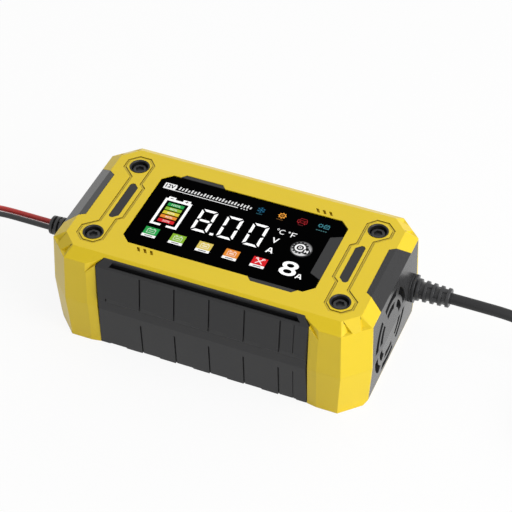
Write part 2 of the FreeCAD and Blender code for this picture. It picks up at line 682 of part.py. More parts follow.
def build_fan():
    """Square frame with its motor mount, a bladed rotor on a shaft stub, and four screws."""
    half = FAN_SIZE / 2
    frame = block(FAN_FRONT, FAN_BACK, FAN_Y - half, FAN_Y + half, FAN_Z - half, FAN_Z + half)
    holes = [(FAN_BORE_R, FAN_Y, FAN_Z)] + [(FAN_HOLE_R, y, z) for y, z in fan_screw_places()]
    frame = frame.cut([rod(radius, (FAN_FRONT - 1, y, z), EAST, FAN_DEPTH + 2) for radius, y, z in holes])
    mount = rod(HUB_R + 0.5, (FAN_FRONT, FAN_Y, FAN_Z), (1, 0, 0), 1.4)
    spokes = []
    for i in range(3):
        spoke = block(FAN_FRONT, FAN_FRONT + 1.4, FAN_Y - 1.5, FAN_Y + 1.5, FAN_Z, FAN_Z + FAN_BORE_R + 0.5)
        spokes.append(spoke.rotated(V(FAN_FRONT, FAN_Y, FAN_Z), EAST, 120 * i))
    post = rod(2.5, (FAN_FRONT, FAN_Y, FAN_Z), (1, 0, 0), 4.5)
    frame = fused([frame, mount, post] + spokes)

    hub_x = FAN_FRONT + 2.0
    hub = rod(HUB_R, (hub_x, FAN_Y, FAN_Z), (1, 0, 0), FAN_DEPTH - 2.8)
    bore = rod(2.55, (hub_x - 1, FAN_Y, FAN_Z), (1, 0, 0), 4.0)
    cup = rod(HUB_R - 1.4, (hub_x - 1, FAN_Y, FAN_Z), EAST, 3.6)
    cup = cup.cut(rod(4.2, (hub_x - 2, FAN_Y, FAN_Z), EAST, 7))
    blades = []
    for i in range(BLADES):
        blade = fan_blade(hub_x + 0.6, FAN_DEPTH - 4.2)
        blades.append(blade.rotated(V(hub_x, FAN_Y, FAN_Z), EAST, 360 / BLADES * i))
    rotor = fused([hub] + blades).cut([bore, cup])
    screws = [rod(2.0, (FAN_FRONT - 1.6, y, z), EAST, 1.6).fuse(
        rod(1.2, (FAN_FRONT - 1, y, z), EAST, FAN_DEPTH + 3))
              for y, z in fan_screw_places()]
    return {"fan_frame": frame, "fan_rotor": rotor, "fan_screws": Part.makeCompound(screws)}


def fan_blade(x0, depth):
    """One twisted blade: steep at the hub and flatter at its tip."""
    sections = []
    for radius, lean in ((HUB_R - 0.8, 52), ((HUB_R + BLADE_R) / 2, 40), (BLADE_R - 0.6, 30)):
        swing = depth / 2 / math.tan(math.radians(lean))
        corners = [V(x0 + along, FAN_Y + across + side, FAN_Z + radius) for along, across, side in
                   ((0, -swing, -BLADE_HALF), (depth, swing, -BLADE_HALF), (depth, swing, BLADE_HALF),
                    (0, -swing, BLADE_HALF))]
        sections.append(Part.makePolygon(corners + corners[:1]))
    return Part.makeLoft(sections, True, True)


# ================================================================ cord boots
def boot_flange(y, z, grow):
    """An upright octagon in Y and Z, the boot's flange."""
    half_y, half_z, cut = BOOT_HALF_Y + grow, BOOT_HALF_Z + grow, BOOT_CUT
    return [(y - half_y + cut, z - half_z), (y + half_y - cut, z - half_z), (y + half_y, z - half_z + cut),
            (y + half_y, z + half_z - cut), (y + half_y - cut, z + half_z), (y - half_y + cut, z + half_z),
            (y - half_y, z + half_z - cut), (y - half_y, z - half_z + cut)]


def panel_face_x(z):
    """How far out the housing's end face is at a height."""
    if z >= PARTING_Z:
        return END_X + BULGE * (SHOULDER_Z - z) / (SHOULDER_Z - PARTING_Z)
    return END_X - DRAFT + (BULGE + DRAFT) * (z - FOOT_Z) / (PARTING_Z - FOOT_Z)


def ribbed_neck(length, ribs, x, y, z):
    """A tapered core with ribs, and webs between the ribs that turn a quarter from one gap to the next."""
    pitch = (length - RIB_START - RIB_THICK) / (ribs - 1)
    taper = (RIB_TIP_R - RIB_BASE_R) / (ribs - 1)
    points, webs = [(0, 0), (0, RIB_BASE_R - 1.7)], []
    for i in range(ribs):
        start, radius = RIB_START + pitch * i, RIB_BASE_R + taper * i
        points += [(start, radius - 1.7), (start + 0.3, radius), (start + RIB_THICK - 0.3, radius - 0.1),
                   (start + RIB_THICK, radius - 1.8)]
        across, up = (WEB, radius) if i % 2 else (radius, WEB)
        web = block(x + start + 1, x + min(start + pitch + 1, length), y - across, y + across, z - up, z + up)
        webs.append(web.common(rod(radius - 0.7, (x, y, z), EAST, length)))
    points[-1:] = [(length, RIB_TIP_R - 0.4), (length, 0)]
    return revolved(points, (x, y, z), 1).fuse(webs[:-1])


def build_boot(y, z, length, ribs):
    """A strain relief: a plug in the panel, a grooved flange on it and a ribbed tapering neck."""
    face = panel_face_x(z)
    back = END_X - PANEL_BACK
    seat = prism_x(boot_flange(y, z, -2.7), back - BOOT_PLUG, face + 1)
    keeper = prism_x(boot_flange(y, z, -1.9), back - BOOT_PLUG, back)
    lip = prism_x(boot_flange(y, z, 0), END_X - 0.5, face + BOOT_LIP)
    groove = prism_x(boot_flange(y, z, -0.7), face, face + BOOT_LIP + 0.6)
    plate = prism_x(boot_flange(y, z, 0), face + BOOT_LIP + 0.6, face + BOOT_FLANGE)
    neck = ribbed_neck(length - BOOT_FLANGE, ribs, face + BOOT_FLANGE, y, z)
    return fused([seat, keeper, fused([lip, groove, plate]).cut(housing_form()), neck])


def build_boots():
    """The strain reliefs of the mains cord and of the two battery leads."""
    return {"ac_boot": build_boot(AC_Y, AC_Z, AC_BOOT_LENGTH, AC_BOOT_RIBS),
            "dc_boot": mirror_x(build_boot(DC_Y, DC_Z, DC_BOOT_LENGTH, DC_BOOT_RIBS))}


# ================================================================ display stack
def build_display():
    """Lens, the dark frame under and round it, the display module, its board, the button and its switch."""
    lens_top = HEIGHT - LENS_SINK
    lens_low = HEIGHT - ROOF
    hole = rod(BUTTON_R + BUTTON_GAP, (BUTTON_X, BUTTON_Y, lens_low - 5), (0, 0, 1), 12)
    lens = prism_z(lens_outline(LENS_GAP), lens_low, lens_top).cut(hole)

    flange_x, flange_y = LENS_X + FRAME_LIP, LENS_Y + TAB_DEPTH + FRAME_LIP
    frame = block(-flange_x, flange_x, -flange_y, flange_y, lens_low - 1.5, lens_low)
    outlines = notch_outline(), tab_outline(TOP_TAB, 1), tab_outline(BOTTOM_TAB, -1)
    islands = [prism_z(shrink(outline), lens_low - 0.5, HEIGHT - 0.2) for outline in outlines]
    leg_foot = lens_low - LCD_THICK
    legs = [rod(2.4, (sx * (flange_x - 2.6), sy * (flange_y - 2.6), leg_foot), UP, LCD_THICK - 1)
            for sx in (-1, 1) for sy in (-1, 1)]
    window = block(-LCD_X - 0.3, LCD_X + 0.3, -LCD_Y - 0.3, LCD_Y + 0.3, lens_low - 3, lens_low)
    frame = fused([frame] + islands + legs).cut(window)

    keyway = rod(BUTTON_R + BUTTON_FLANGE + 0.8, (BUTTON_X, BUTTON_Y, lens_low - 6), (0, 0, 1), 12)
    lcd = block(-LCD_X, LCD_X, -LCD_Y, LCD_Y, lens_low - LCD_THICK, lens_low).cut(keyway)
    board_top = lens_low - LCD_THICK
    board_x, board_y = flange_x - 1, flange_y - 1
    board = block(-board_x, board_x, -board_y, board_y, board_top - BOARD_THICK, board_top)

    flange_top = lens_low - 0.08
    button_foot = flange_top - 1.2
    post = rod(BUTTON_R, (BUTTON_X, BUTTON_Y, button_foot), UP, lens_top + BUTTON_PROUD - button_foot)
    button = fused([post, rod(BUTTON_R + BUTTON_FLANGE, (BUTTON_X, BUTTON_Y, flange_top - 1.2), UP, 1.2)])
    dish = Part.makeCone(4.6, 5.2, 0.35, V(BUTTON_X, BUTTON_Y, lens_top + BUTTON_PROUD - 0.35), UP)
    switch_top = flange_top - 1.2 - BUTTON_TRAVEL - 0.08
    body = block(BUTTON_X - 3, BUTTON_X + 3, BUTTON_Y - 3, BUTTON_Y + 3, board_top, board_top + 0.45)
    switch = fused([body, rod(1.6, (BUTTON_X, BUTTON_Y, board_top), UP, switch_top - board_top)])
    return {"display_lens": lens, "display_frame": frame, "lcd_module": lcd, "display_board": board,
            "mode_button": button.cut(dish), "button_switch": switch}


def shrink(outline):
    """An outline made a little smaller about its middle, to leave a fine gap."""
    cx = sum(x for x, _ in outline) / len(outline)
    cy = sum(y for _, y in outline) / len(outline)
    wide = max(abs(x - cx) for x, _ in outline)
    tall = max(abs(y - cy) for _, y in outline)
    fx, fy = 1 - 0.15 / wide, 1 - 0.15 / tall
    return [(cx + (x - cx) * fx, cy + (y - cy) * fy) for x, y in outline]


# ================================================================ inside
def build_inside():
    """Main board with its parts, feet and small fasteners."""
    top = BOARD_Z + BOARD_THICK
    half_x, half_y = END_X - 29, GRIP_SEAT_Y - WALL - BOARD_CLEAR
    board = block(-half_x, half_x, -half_y, half_y, BOARD_Z, top)
    board = board.cut([rod(1.6, (x, y, BOARD_Z - 1), (0, 0, 1), 5) for x, y in board_screw_places()])
    screws = [rod(2.8, (x, y, top), (0, 0, 1), 1.8).fuse(rod(1.2, (x, y, top - 6), (0, 0, 1), 6.5))
              for x, y in board_screw_places()]

    core = block(-6, 26, -16, 16, top, top + 30).cut(
        [block(-7, 27, -9.5, -4.5, top + 6, top + 24), block(-7, 27, 4.5, 9.5, top + 6, top + 24)])
    winding = Part.makeCompound([block(-5, 25, y - 2.1, y + 2.1, top + 6.2, top + 23.8) for y in (-7.0, 7.0)])
    cans = [rod(r, (x, y, top), UP, h) for x, y, r, h in
            ((44, -14, 9, 30), (44, 12, 9, 30), (-28, 22, 5, 20), (-40, 22, 5, 20))]
    fins = [block(-52, -16, y, y + 1.4, top + 3, top + 34) for y in (-32.0, -28.0, -24.0, -20.0)]
    sink = fused([block(-52, -16, -32, -18.6, top, top + 3)] + fins)
    transistors = [block(x, x + 10, -18.6, -14, top, top + 18) for x in (-48, -32)]
    toroid = rod(11.5, (-40, 2, top), (0, 0, 1), 8).cut(rod(4.5, (-40, 2, top - 1), (0, 0, 1), 10))
    right, left = half_x - 17.9, 5.9 - half_x
    fuse = fused([block(right, right + 12, 26, 34, top, top + 3), rod(2.6, (right - 4, 30, top + 5), EAST, 20)])
    terminals = block(left, left + 8, -8, 12, top, top + 10).cut(
        [block(left - 1, left + 4, y - 3, y + 3, top + 2, top + 7) for y in (-2.0, 6.0)])
    feet = []
    for x, y in foot_places():
        feet.append(rod(FOOT_R - 0.1, (x, y, 0), (0, 0, 1), FOOT_SINK))
    return {"main_board": board, "board_screws": Part.makeCompound(screws), "transformer_core": core,
            "transformer_winding": winding, "capacitors": Part.makeCompound(cans), "heat_sink": sink,
            "power_transistors": Part.makeCompound(transistors), "output_choke": toroid, "fuse_holder": fuse,
            "terminal_block": terminals, "rubber_feet": Part.makeCompound(feet)}


# ================================================================ cords
def route_wire(points, name):
    """Straight runs joined by tangent arcs, each as large as its two runs allow."""
    corners = [V(*p) for p in points]
    edges, start, radii = [], corners[0], []
    for before, here, after in zip(corners, corners[1:], corners[2:]):
        into, out = (here - before).normalize(), (after - here).normalize()
        half = into.getAngle(out) / 2
        reach = 0.45 * min((here - before).Length, (after - here).Length)
        radii.append(reach / math.tan(half))
        first, last = here - into * reach, here + out * reach
        inward = (out - into).normalize()
        middle = here + inward * (radii[-1] * (1 / math.cos(half) - 1))
        edges += [Part.LineSegment(start, first).toShape(), Part.Arc(first, middle, last).toShape()]
        start = last
    edges.append(Part.LineSegment(start, corners[-1]).toShape())
    print(name, "radii", [round(r, 1) for r in radii], "least", round(min(radii), 1) if radii else "straight")
    return Part.Wire(edges)


def biarc(start, start_way, end, end_way):
    """Two arcs that leave start along start_way and reach end along end_way, smooth where they meet."""
    chord = end - start
    both = start_way + end_way
    spread = 2 * (1 - start_way.dot(end_way))
    if spread < 1e-9:
        reach = chord.Length ** 2 / (4 * chord.dot(end_way))
    else:
        along = chord.dot(both)
        reach = (-along + math.sqrt(along ** 2 + spread * chord.Length ** 2)) / spread
    meet = (start + start_way * reach + end - end_way * reach) * 0.5
    return [arc_from(start, start_way, meet), arc_from(end, -end_way, meet)]


def arc_from(start, way, end):
    """The arc that leaves start along way and ends at end."""
    chord = end - start
    unit = V(chord).normalize()
    side = way - unit * way.dot(unit)
    if side.Length < 1e-9:
        return Part.LineSegment(start, end).toShape()
    half = math.atan2(side.Length, way.dot(unit))
    middle = start + chord * 0.5 + side.normalize() * (chord.Length / 2 * math.tan(half / 2))
    return Part.Arc(start, middle, end).toShape()


def coil_points(coil, diameter):
    """The coil's middle line by its turn count: a layer wound in, half a turn up and a layer out."""
    climb = 0.5
    total = 2 * COIL_TURNS + climb

    def at(turn):
        share = min(max((turn - COIL_TURNS) / climb, 0), 1)
        wound = min(turn, COIL_TURNS, total - turn) + math.sin(math.pi * share) * climb / math.pi
        radius = coil["radius"] - coil["pitch"] * wound
        height = coil["rise"] * (0.5 - 0.5 * math.cos(math.pi * share))
        angle = coil["start"] + coil["turn_way"] * 2 * math.pi * turn
        across = V(math.cos(angle), math.sin(angle), 0) * radius
        return V(coil["x"], coil["y"], diameter / 2 + height) + across

    return at, total


def coil_way(at, turn, total):
    """The direction of the coil's middle line at a turn count."""
    step = 1e-4
    low, high = max(turn - step, 0), min(turn + step, total)
    return (at(high) - at(low)).normalize()


def biarc_line(at, total, steps, first_way, last_way):
    """Edges of two arcs for each step along a curve given as a function of its turn count."""
    turns = [total * i / steps for i in range(steps + 1)]
    ways = [first_way] + [coil_way(at, turn, total) for turn in turns[1:-1]] + [last_way]
    edges = []
    for t0, t1, w0, w1 in zip(turns, turns[1:], ways, ways[1:]):
        edges += biarc(at(t0), w0, at(t1), w1)
    return edges


def wound_tube(path, diameter, start, way, name):
    """An unbroken tube of WOUND_SIDES sides along a path of arcs; prints its length, volume and least gap."""
    across = UP.cross(way).normalize()
    other = way.cross(across)
    corners = []
    for i in range(WOUND_SIDES):
        angle = 2 * math.pi * (i + 0.5) / WOUND_SIDES
        corners.append(start + (across * math.cos(angle) + other * math.sin(angle)) * (diameter / 2))
    solid = path.makePipeShell([Part.makePolygon(corners + corners[:1])], True, False)
    area = 0.5 * WOUND_SIDES * (diameter / 2) ** 2 * math.sin(2 * math.pi / WOUND_SIDES)
    print(name, "length", round(path.Length, 1), "volume", round(solid.Volume, 1), "section x length",
          round(area * path.Length, 1), "least gap", round(least_gap(path, diameter), 2))
    return solid


def coil_solid(coil, diameter, name):
    """A coil with a straight stretch of one diameter at each end."""
    at, total = coil_points(coil, diameter)
    heading = V(coil["heading"], 0, 0)
    begin, finish = at(0) - heading * diameter, at(total) + heading * diameter
    edges = [Part.LineSegment(begin, at(0)).toShape()]
    edges += biarc_line(at, total, int(round(total * 4)), heading, heading)
    edges.append(Part.LineSegment(at(total), finish).toShape())
    path = Part.Wire(ordered(edges, begin))
    return wound_tube(path, diameter, begin, heading, name), begin, finish


def ordered(edges, start):
    """The same edges, each running on from the last."""
    line = []
    for edge in edges:
        ends = [edge.valueAt(edge.FirstParameter), edge.valueAt(edge.LastParameter)]
        if (ends[0] - start).Length > (ends[1] - start).Length:
            middle = edge.valueAt((edge.FirstParameter + edge.LastParameter) / 2)
            edge = Part.Arc(ends[1], middle, ends[0]).toShape() if edge.Curve.TypeId == "Part::GeomCircle" \
                else Part.LineSegment(ends[1], ends[0]).toShape()
            ends.reverse()
        line.append(edge)
        start = ends[1]
    return line


def least_gap(path, diameter):
    """The least clear distance between two turns, measured on points along the path."""
    points = path.discretize(Distance=diameter / 3)
    apart = 10
    least = 1e9
    for i, p in enumerate(points):
        for q in points[i + apart:]:
            least = min(least, (p - q).Length)
    return least - diameter


def tube(points, diameter, name):
    """A cord's free stretch as a round tube."""
    path = route_wire(points, name)
    way = (V(*points[1]) - V(*points[0])).normalize()
    ring = Part.Wire(Part.makeCircle(diameter / 2, V(*points[0]), way))
    solid = path.makePipeShell([ring], True, False)
    area = math.pi * diameter ** 2 / 4
    print(name, "length", round(path.Length, 1), "volume", round(solid.Volume, 1), "section x length",
          round(area * path.Length, 1))
    return solid


def plug_section(x, grow):
    """An octagon in Y and Z across the plug's body, drawn in or let out by grow."""
    wide, tall, cut = PLUG_WIDTH / 2 + grow, PLUG_Z + grow * 0.55, 3.0
    corners = [(wide - cut, -tall), (wide, -tall + cut), (wide, tall - cut), (wide - cut, tall)]
    corners += [(-across, up) for across, up in reversed(corners)]
    return [(x, FLOOR_Y + across, PLUG_Z + up) for across, up in corners]


def build_mains_cord():
    """The mains cord from its boot to the floor, its coil, the tail and the plug."""
    tip = panel_face_x(AC_Z) + AC_BOOT_LENGTH
    coil = dict(AC_COIL, y=FLOOR_Y - AC_COIL["radius"], start=math.pi / 2, turn_way=-1, heading=1)
    solid, begin, finish = coil_solid(coil, CORD_D, "ac_coil")
    cord = tube([(tip, AC_Y, AC_Z)] + CORD_ROUTE + [(begin.x, FLOOR_Y, CORD_D / 2)], CORD_D, "ac_cord")
    tail = tube([(finish.x, FLOOR_Y, PLUG_Z), (PLUG_BOOT_X, FLOOR_Y, PLUG_Z)], CORD_D, "ac_tail")
    boot = Part.makeCone(CORD_D / 2 + 0.9, 6.2, PLUG_X - PLUG_BOOT_X, V(PLUG_BOOT_X, FLOOR_Y, PLUG_Z), EAST)
    face = PLUG_X + PLUG_LENGTH
    body = tower([plug_section(PLUG_X, -5.0), plug_section(PLUG_X + 6, -0.8), plug_section(face - 3, 0.0),
                  plug_section(face, -1.2)])
    blades, slots = [], []
    for side in (-1, 1):
        y, thin, wide = FLOOR_Y + side * BLADE_SPACING / 2, BLADE_THICK / 2, BLADE_WIDE / 2
        slots.append(block(face - 6, face + 1, y - thin, y + thin, PLUG_Z - wide, PLUG_Z + wide))
        blade = block(face - 6, face + BLADE_LENGTH, y - thin, y + thin, PLUG_Z - wide, PLUG_Z + wide)
        blades.append(blade.cut(rod(1.6, (face + BLADE_LENGTH - 4.5, y - 3, PLUG_Z), NORTH, 6)))
    return {"ac_cord": cord, "ac_coil": solid, "ac_tail": tail, "mains_plug": boot.fuse(body).cut(slots),
            "plug_blades": Part.makeCompound(blades)}


CORD_ROUTE = [(137.0, 29.0, 31.6), (158.0, 29.2, 31.2), (171.0, 29.5, 27.8), (182.0, 29.8, 21.2),
              (191.5, 30.0, 13.4), (200.5, 30.0, 7.4), (210.0, 30.0, 4.2), (218.4, 30.0, 3.3)]
LEAD_ROUTES = {
    "red": [(-150.5, 0.35, 31.8), (-160.0, 0.9, 30.3), (-167.5, 2.0, 25.9), (-173.0, 3.2, 19.0),
            (-178.0, 4.4, 12.4), (-183.6, 5.6, 6.6), (-189.2, 6.5, 3.1), (-195.0, 7.0, 1.65)],
    "black": [(-150.5, -4.35, 31.8), (-160.0, -4.7, 30.3), (-167.5, -5.15, 25.9), (-173.0, -5.55, 19.0),
              (-178.0, -5.95, 12.4), (-183.6, -6.4, 6.6), (-189.2, -6.75, 3.1), (-195.0, -7.0, 1.65)],
}


def build_lead(colour, side):
    """One battery lead: from the boot to the floor, its coil, and the tail to its clamp."""
    tip = -(panel_face_x(DC_Z) + DC_BOOT_LENGTH)
    tangent = side * DC_COIL_TANGENT_Y
    centre_y = tangent + side * DC_COIL["radius"]
    coil = dict(DC_COIL, y=centre_y, start=-side * math.pi / 2, turn_way=-side, heading=-1)
    solid, begin, finish = coil_solid(coil, LEAD_D, colour + "_coil")
    low = LEAD_D / 2
    start = (tip, DC_Y + side * LEAD_OFFSET, DC_Z - LEAD_SINK)
    route = [start] + LEAD_ROUTES[colour] + [(begin.x, tangent, low)]
    lead = tube(route, LEAD_D, colour + "_lead")
    high = low + DC_COIL["rise"]
    middle = CLAMP_THICK / 2
    tail = tube([(finish.x, tangent, high), (finish.x - 5.0, tangent, high), (CLAMP_X + 8.5, tangent, middle),
                 (CLAMP_X + 3.5, tangent, middle)], LEAD_D, colour + "_tail")
    return {colour + "_lead": lead, colour + "_coil": solid, colour + "_tail": tail}


# ================================================================ clamps
def lever_outline():
    """A clamp lever seen flat, handle end at u = 0 and jaw towards -u, on the +v side of the centre line."""
    tip = -CLAMP_LENGTH
    pivot = -CLAMP_PIVOT
    return [(0, 17.6), (0, 13.2), (pivot + 4.0, 5.0), (pivot + 4.0, 2.0), (pivot - 6.0, 2.0),
            (pivot - 9.0, 3.2), (tip + 6, 3.2), (tip, JAW_GAP), (tip, 3.4), (tip + 3.5, 6.4),
            (pivot - 8.0, 8.4), (pivot + 4.0, 9.0), (-18, 12.8)]


def lever(ear_low, ear_high, place):
    """One moulded lever: a solid spine, and two ears with the pin's hole."""
    spine = prism_z(lever_outline(), 0, CLAMP_THICK)
    pivot = (-CLAMP_PIVOT, 0, 0)
    relief = rod(EAR_R + 0.5, (pivot[0], pivot[1], -1), (0, 0, 1), CLAMP_THICK + 2)
    spine = spine.cut(relief)
    ears = []
    for low, high in ((ear_low, ear_high), (CLAMP_THICK - ear_high, CLAMP_THICK - ear_low)):
        disc = rod(EAR_R, (pivot[0], pivot[1], low), (0, 0, 1), high - low)
        x = pivot[0]
        web = prism_z([(x - 5.5, 2.6), (x + 5.5, 2.6), (x + 7.4, 6.5), (x - 7.4, 6.5)], low, high)
        ears.append(disc.fuse(web))
    bore = rod(CLAMP_PIN_R + CLAMP_FIT, (pivot[0], pivot[1], -1), (0, 0, 1), CLAMP_THICK + 2)
    return place(fused([spine] + ears).cut(bore))


def jaw_plate(place, sign):
    """The copper lining of one jaw, with its row of teeth."""
    tip, pivot = -CLAMP_LENGTH, -CLAMP_PIVOT
    start, end = tip + 7.0, pivot - 9.5
    count = 6
    pitch = (end - start) / count
    points = [(start, 3.2), (start, 1.4)]
    for i in range(count):
        points += [(start + pitch * (i + 0.5), 0.5 + 0.2 * (sign > 0)), (start + pitch * (i + 1), 1.4)]
    points.append((end, 3.2))
    return place(prism_z(points, 3.0, CLAMP_THICK - 3.0))


def build_clamp(colour, side):
    """A battery clamp lying on its side, fixed lever towards the middle, moving lever outside."""
    centre_y = side * (DC_COIL_TANGENT_Y + CLAMP_OFFSET)

    def fixed_place(shape):
        flat = shape if side < 0 else mirror_y(shape)
        return flat.translated(V(CLAMP_X, centre_y, 0))

    def moving_place(shape):
        flat = mirror_y(shape) if side < 0 else shape
        return flat.translated(V(CLAMP_X, centre_y, 0))

    fixed = lever(0, EAR, fixed_place)
    collar = rod(LEAD_D / 2 + 1.2, (CLAMP_X - 1, side * DC_COIL_TANGENT_Y, CLAMP_THICK / 2), (1, 0, 0), 4.5)
    fixed = fixed.fuse(collar)
    moving = lever(EAR + EAR_GAP, 2 * EAR + EAR_GAP, moving_place)
    pin_x = CLAMP_X - CLAMP_PIVOT
    pin = rod(CLAMP_PIN_R, (pin_x, centre_y, 0.2), (0, 0, 1), CLAMP_THICK - 0.4)
    spring = torsion_spring(pin_x, centre_y, side, colour + "_clamp_spring")
    return {colour + "_clamp_fixed": fixed, colour + "_clamp_moving": moving,
            colour + "_jaw_fixed": jaw_plate(fixed_place, 1),
            colour + "_jaw_moving": jaw_plate(moving_place, -1),
            colour + "_clamp_pin": pin, colour + "_clamp_spring": spring}


def torsion_spring(x, y, side, name):
    """The spring round the pin: close turns of round wire with a leg along each handle."""
    low = 2 * (EAR + EAR_GAP) + SPRING_WIRE / 2
    climb = CLAMP_THICK - 2 * low
    lean = math.radians(SPRING_LEAN)
    total = SPRING_TURNS + 0.5 - lean / math.pi
    radius = CLAMP_PIN_R + 0.9 + SPRING_WIRE / 2

    def at(turn):
        angle = -side * (math.pi / 2 + lean + 2 * math.pi * turn)
        return V(x + radius * math.cos(angle), y + radius * math.sin(angle), low + climb * turn / total)

    first = V(-math.cos(lean), side * math.sin(lean), 0)
    last = V(math.cos(lean), side * math.sin(lean), 0)
    begin, finish = at(0) - first * SPRING_LEG, at(total) + last * SPRING_LEG
    edges = [Part.LineSegment(begin, at(0)).toShape()]
    edges += biarc_line(at, total, 4 * SPRING_TURNS + 2, first, last)
    edges.append(Part.LineSegment(at(total), finish).toShape())
    path = Part.Wire(ordered(edges, begin))
    return wound_tube(path, SPRING_WIRE, begin, first, name)


# ================================================================ everything
def main():
    """Build every node and write one STEP file each."""
    nodes = {}
    nodes.update(build_shells())
    nodes.update(build_top_trim())
    nodes["front_grip"] = build_grip()
    nodes["rear_grip"] = build_grip(REAR_DROP).rotated(V(0, 0, 0), UP, 180)
    nodes.update(build_end_panels())
    nodes.update(build_fan())
    nodes.update(build_boots())
    nodes.update(build_display())
    nodes.update(build_inside())
    nodes.update(build_mains_cord())
    for colour, side in (("red", 1), ("black", -1)):
        nodes.update(build_lead(colour, side))
        nodes.update(build_clamp(colour, side))
    os.makedirs("parts", exist_ok=True)
    for name, shape in nodes.items():
        if not shape.isValid() or shape.Volume <= 0 or not shape.Solids:
            volume, solids = round(shape.Volume, 2), len(shape.Solids)
            print("check", name, "valid", shape.isValid(), "volume", volume, "solids", solids)
        shape.exportStep("parts/" + name + ".step")
    print(len(nodes), "nodes")


main()
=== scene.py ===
import logging
import math
from collections.abc import Sequence
from dataclasses import dataclass, field
from enum import Enum

import bpy
import numpy as np
from mathutils import Matrix, Vector


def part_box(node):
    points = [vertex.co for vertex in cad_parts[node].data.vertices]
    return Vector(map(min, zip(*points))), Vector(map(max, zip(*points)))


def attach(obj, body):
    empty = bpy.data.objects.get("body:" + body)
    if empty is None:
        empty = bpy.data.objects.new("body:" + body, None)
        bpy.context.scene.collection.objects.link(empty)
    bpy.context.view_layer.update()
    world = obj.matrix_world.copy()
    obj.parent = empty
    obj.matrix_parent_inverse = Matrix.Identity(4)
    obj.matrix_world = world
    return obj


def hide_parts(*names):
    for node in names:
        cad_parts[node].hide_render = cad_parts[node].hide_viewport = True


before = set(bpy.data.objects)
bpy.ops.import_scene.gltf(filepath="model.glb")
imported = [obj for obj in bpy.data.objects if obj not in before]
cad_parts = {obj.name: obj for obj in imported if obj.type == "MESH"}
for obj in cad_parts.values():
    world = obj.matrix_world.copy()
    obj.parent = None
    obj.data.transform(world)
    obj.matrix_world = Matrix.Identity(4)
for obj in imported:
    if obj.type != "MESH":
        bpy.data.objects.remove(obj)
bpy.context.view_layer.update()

MM = 0.001
HOUSING = "housing"
BUTTON = "button"
log = logging.getLogger("charger")

Triple = tuple[float, float, float]
Pair = tuple[float, float]
Colour = Triple
Number = "ShaderSocket | float"


# ---------------------------------------------------------------- shader expressions
class ShaderSocket:
    """A number in a node tree that takes part in Python expressions; each operator adds its Math node."""

    def __init__(self, graph: "NodeGraph", socket: bpy.types.NodeSocket) -> None:
        """Args:
            graph: the tree that the socket belongs to.
            socket: an output socket that holds a number.
        """
        self.graph = graph
        self.socket = socket

    def __add__(self, other: Number) -> "ShaderSocket":
        """The sum."""
        return self.graph.maths("ADD", self, other)

    __radd__ = __add__

    def __sub__(self, other: Number) -> "ShaderSocket":
        """The difference."""
        return self.graph.maths("SUBTRACT", self, other)

    def __rsub__(self, other: Number) -> "ShaderSocket":
        """The difference, the other way round."""
        return self.graph.maths("SUBTRACT", other, self)

    def __mul__(self, other: Number) -> "ShaderSocket":
        """The product."""
        return self.graph.maths("MULTIPLY", self, other)

    __rmul__ = __mul__

    def __truediv__(self, other: Number) -> "ShaderSocket":
        """The quotient."""
        return self.graph.maths("DIVIDE", self, other)

    def above(self, limit: float, blur: float) -> "ShaderSocket":
        """Args:
            limit: where the step is.
            blur: how wide its soft edge is.

        Returns:
            0 below the limit and 1 above it, with a straight slope between.
        """
        slope = (self - (limit - blur / 2)) / blur
        return self.graph.maths("MAXIMUM", self.graph.maths("MINIMUM", slope, 1.0), 0.0)


class NodeGraph:
    """A node tree whose nodes all come from one method."""

    def __init__(self, tree: bpy.types.NodeTree) -> None:
        """Args:
            tree: a material's or a world's tree, which is emptied first.
        """
        self.tree = tree
        self.tree.nodes.clear()

    def add(self, kind: str, settings: dict | None = None, sockets: dict | None = None) -> bpy.types.Node:
        """Args:
            kind: the node's type.
            settings: attributes that are set first.
            sockets: values or links, by the input's name or number.

        Returns:
            The new node.
        """
        node = self.tree.nodes.new(kind)
        for name, value in (settings or {}).items():
            setattr(node, name, value)
        for key, value in (sockets or {}).items():
            self.feed(node.inputs[key], value)
        return node

    def feed(self, target: bpy.types.NodeSocket, value: object) -> None:
        """Args:
            target: the input socket.
            value: a ShaderSocket, a node's socket, a colour or a number.
        """
        if isinstance(value, ShaderSocket):
            value = value.socket
        if isinstance(value, bpy.types.NodeSocket):
            self.tree.links.new(value, target)
        elif target.type == "RGBA" and len(value) == 3:
            target.default_value = (*value, 1.0)
        else:
            target.default_value = value

    def maths(self, operation: str, first: Number, second: Number = 0.0) -> ShaderSocket:
        """Args:
            operation: the Math node's operation.
            first: its first value.
            second: its second value.

        Returns:
            The node's result.
        """
        node = self.add("ShaderNodeMath", {"operation": operation}, {0: first, 1: second})
        return ShaderSocket(self, node.outputs[0])

    def looked_at(self) -> ShaderSocket:
        """Returns:
            1 for rays from the camera, off gloss or through clear parts, and 0 for light on things.
        """
        path = self.add("ShaderNodeLightPath").outputs
        direct = self.maths("MAXIMUM", ShaderSocket(self, path["Is Camera Ray"]), path["Is Glossy Ray"])
        return self.maths("MAXIMUM", direct, path["Is Transmission Ray"])


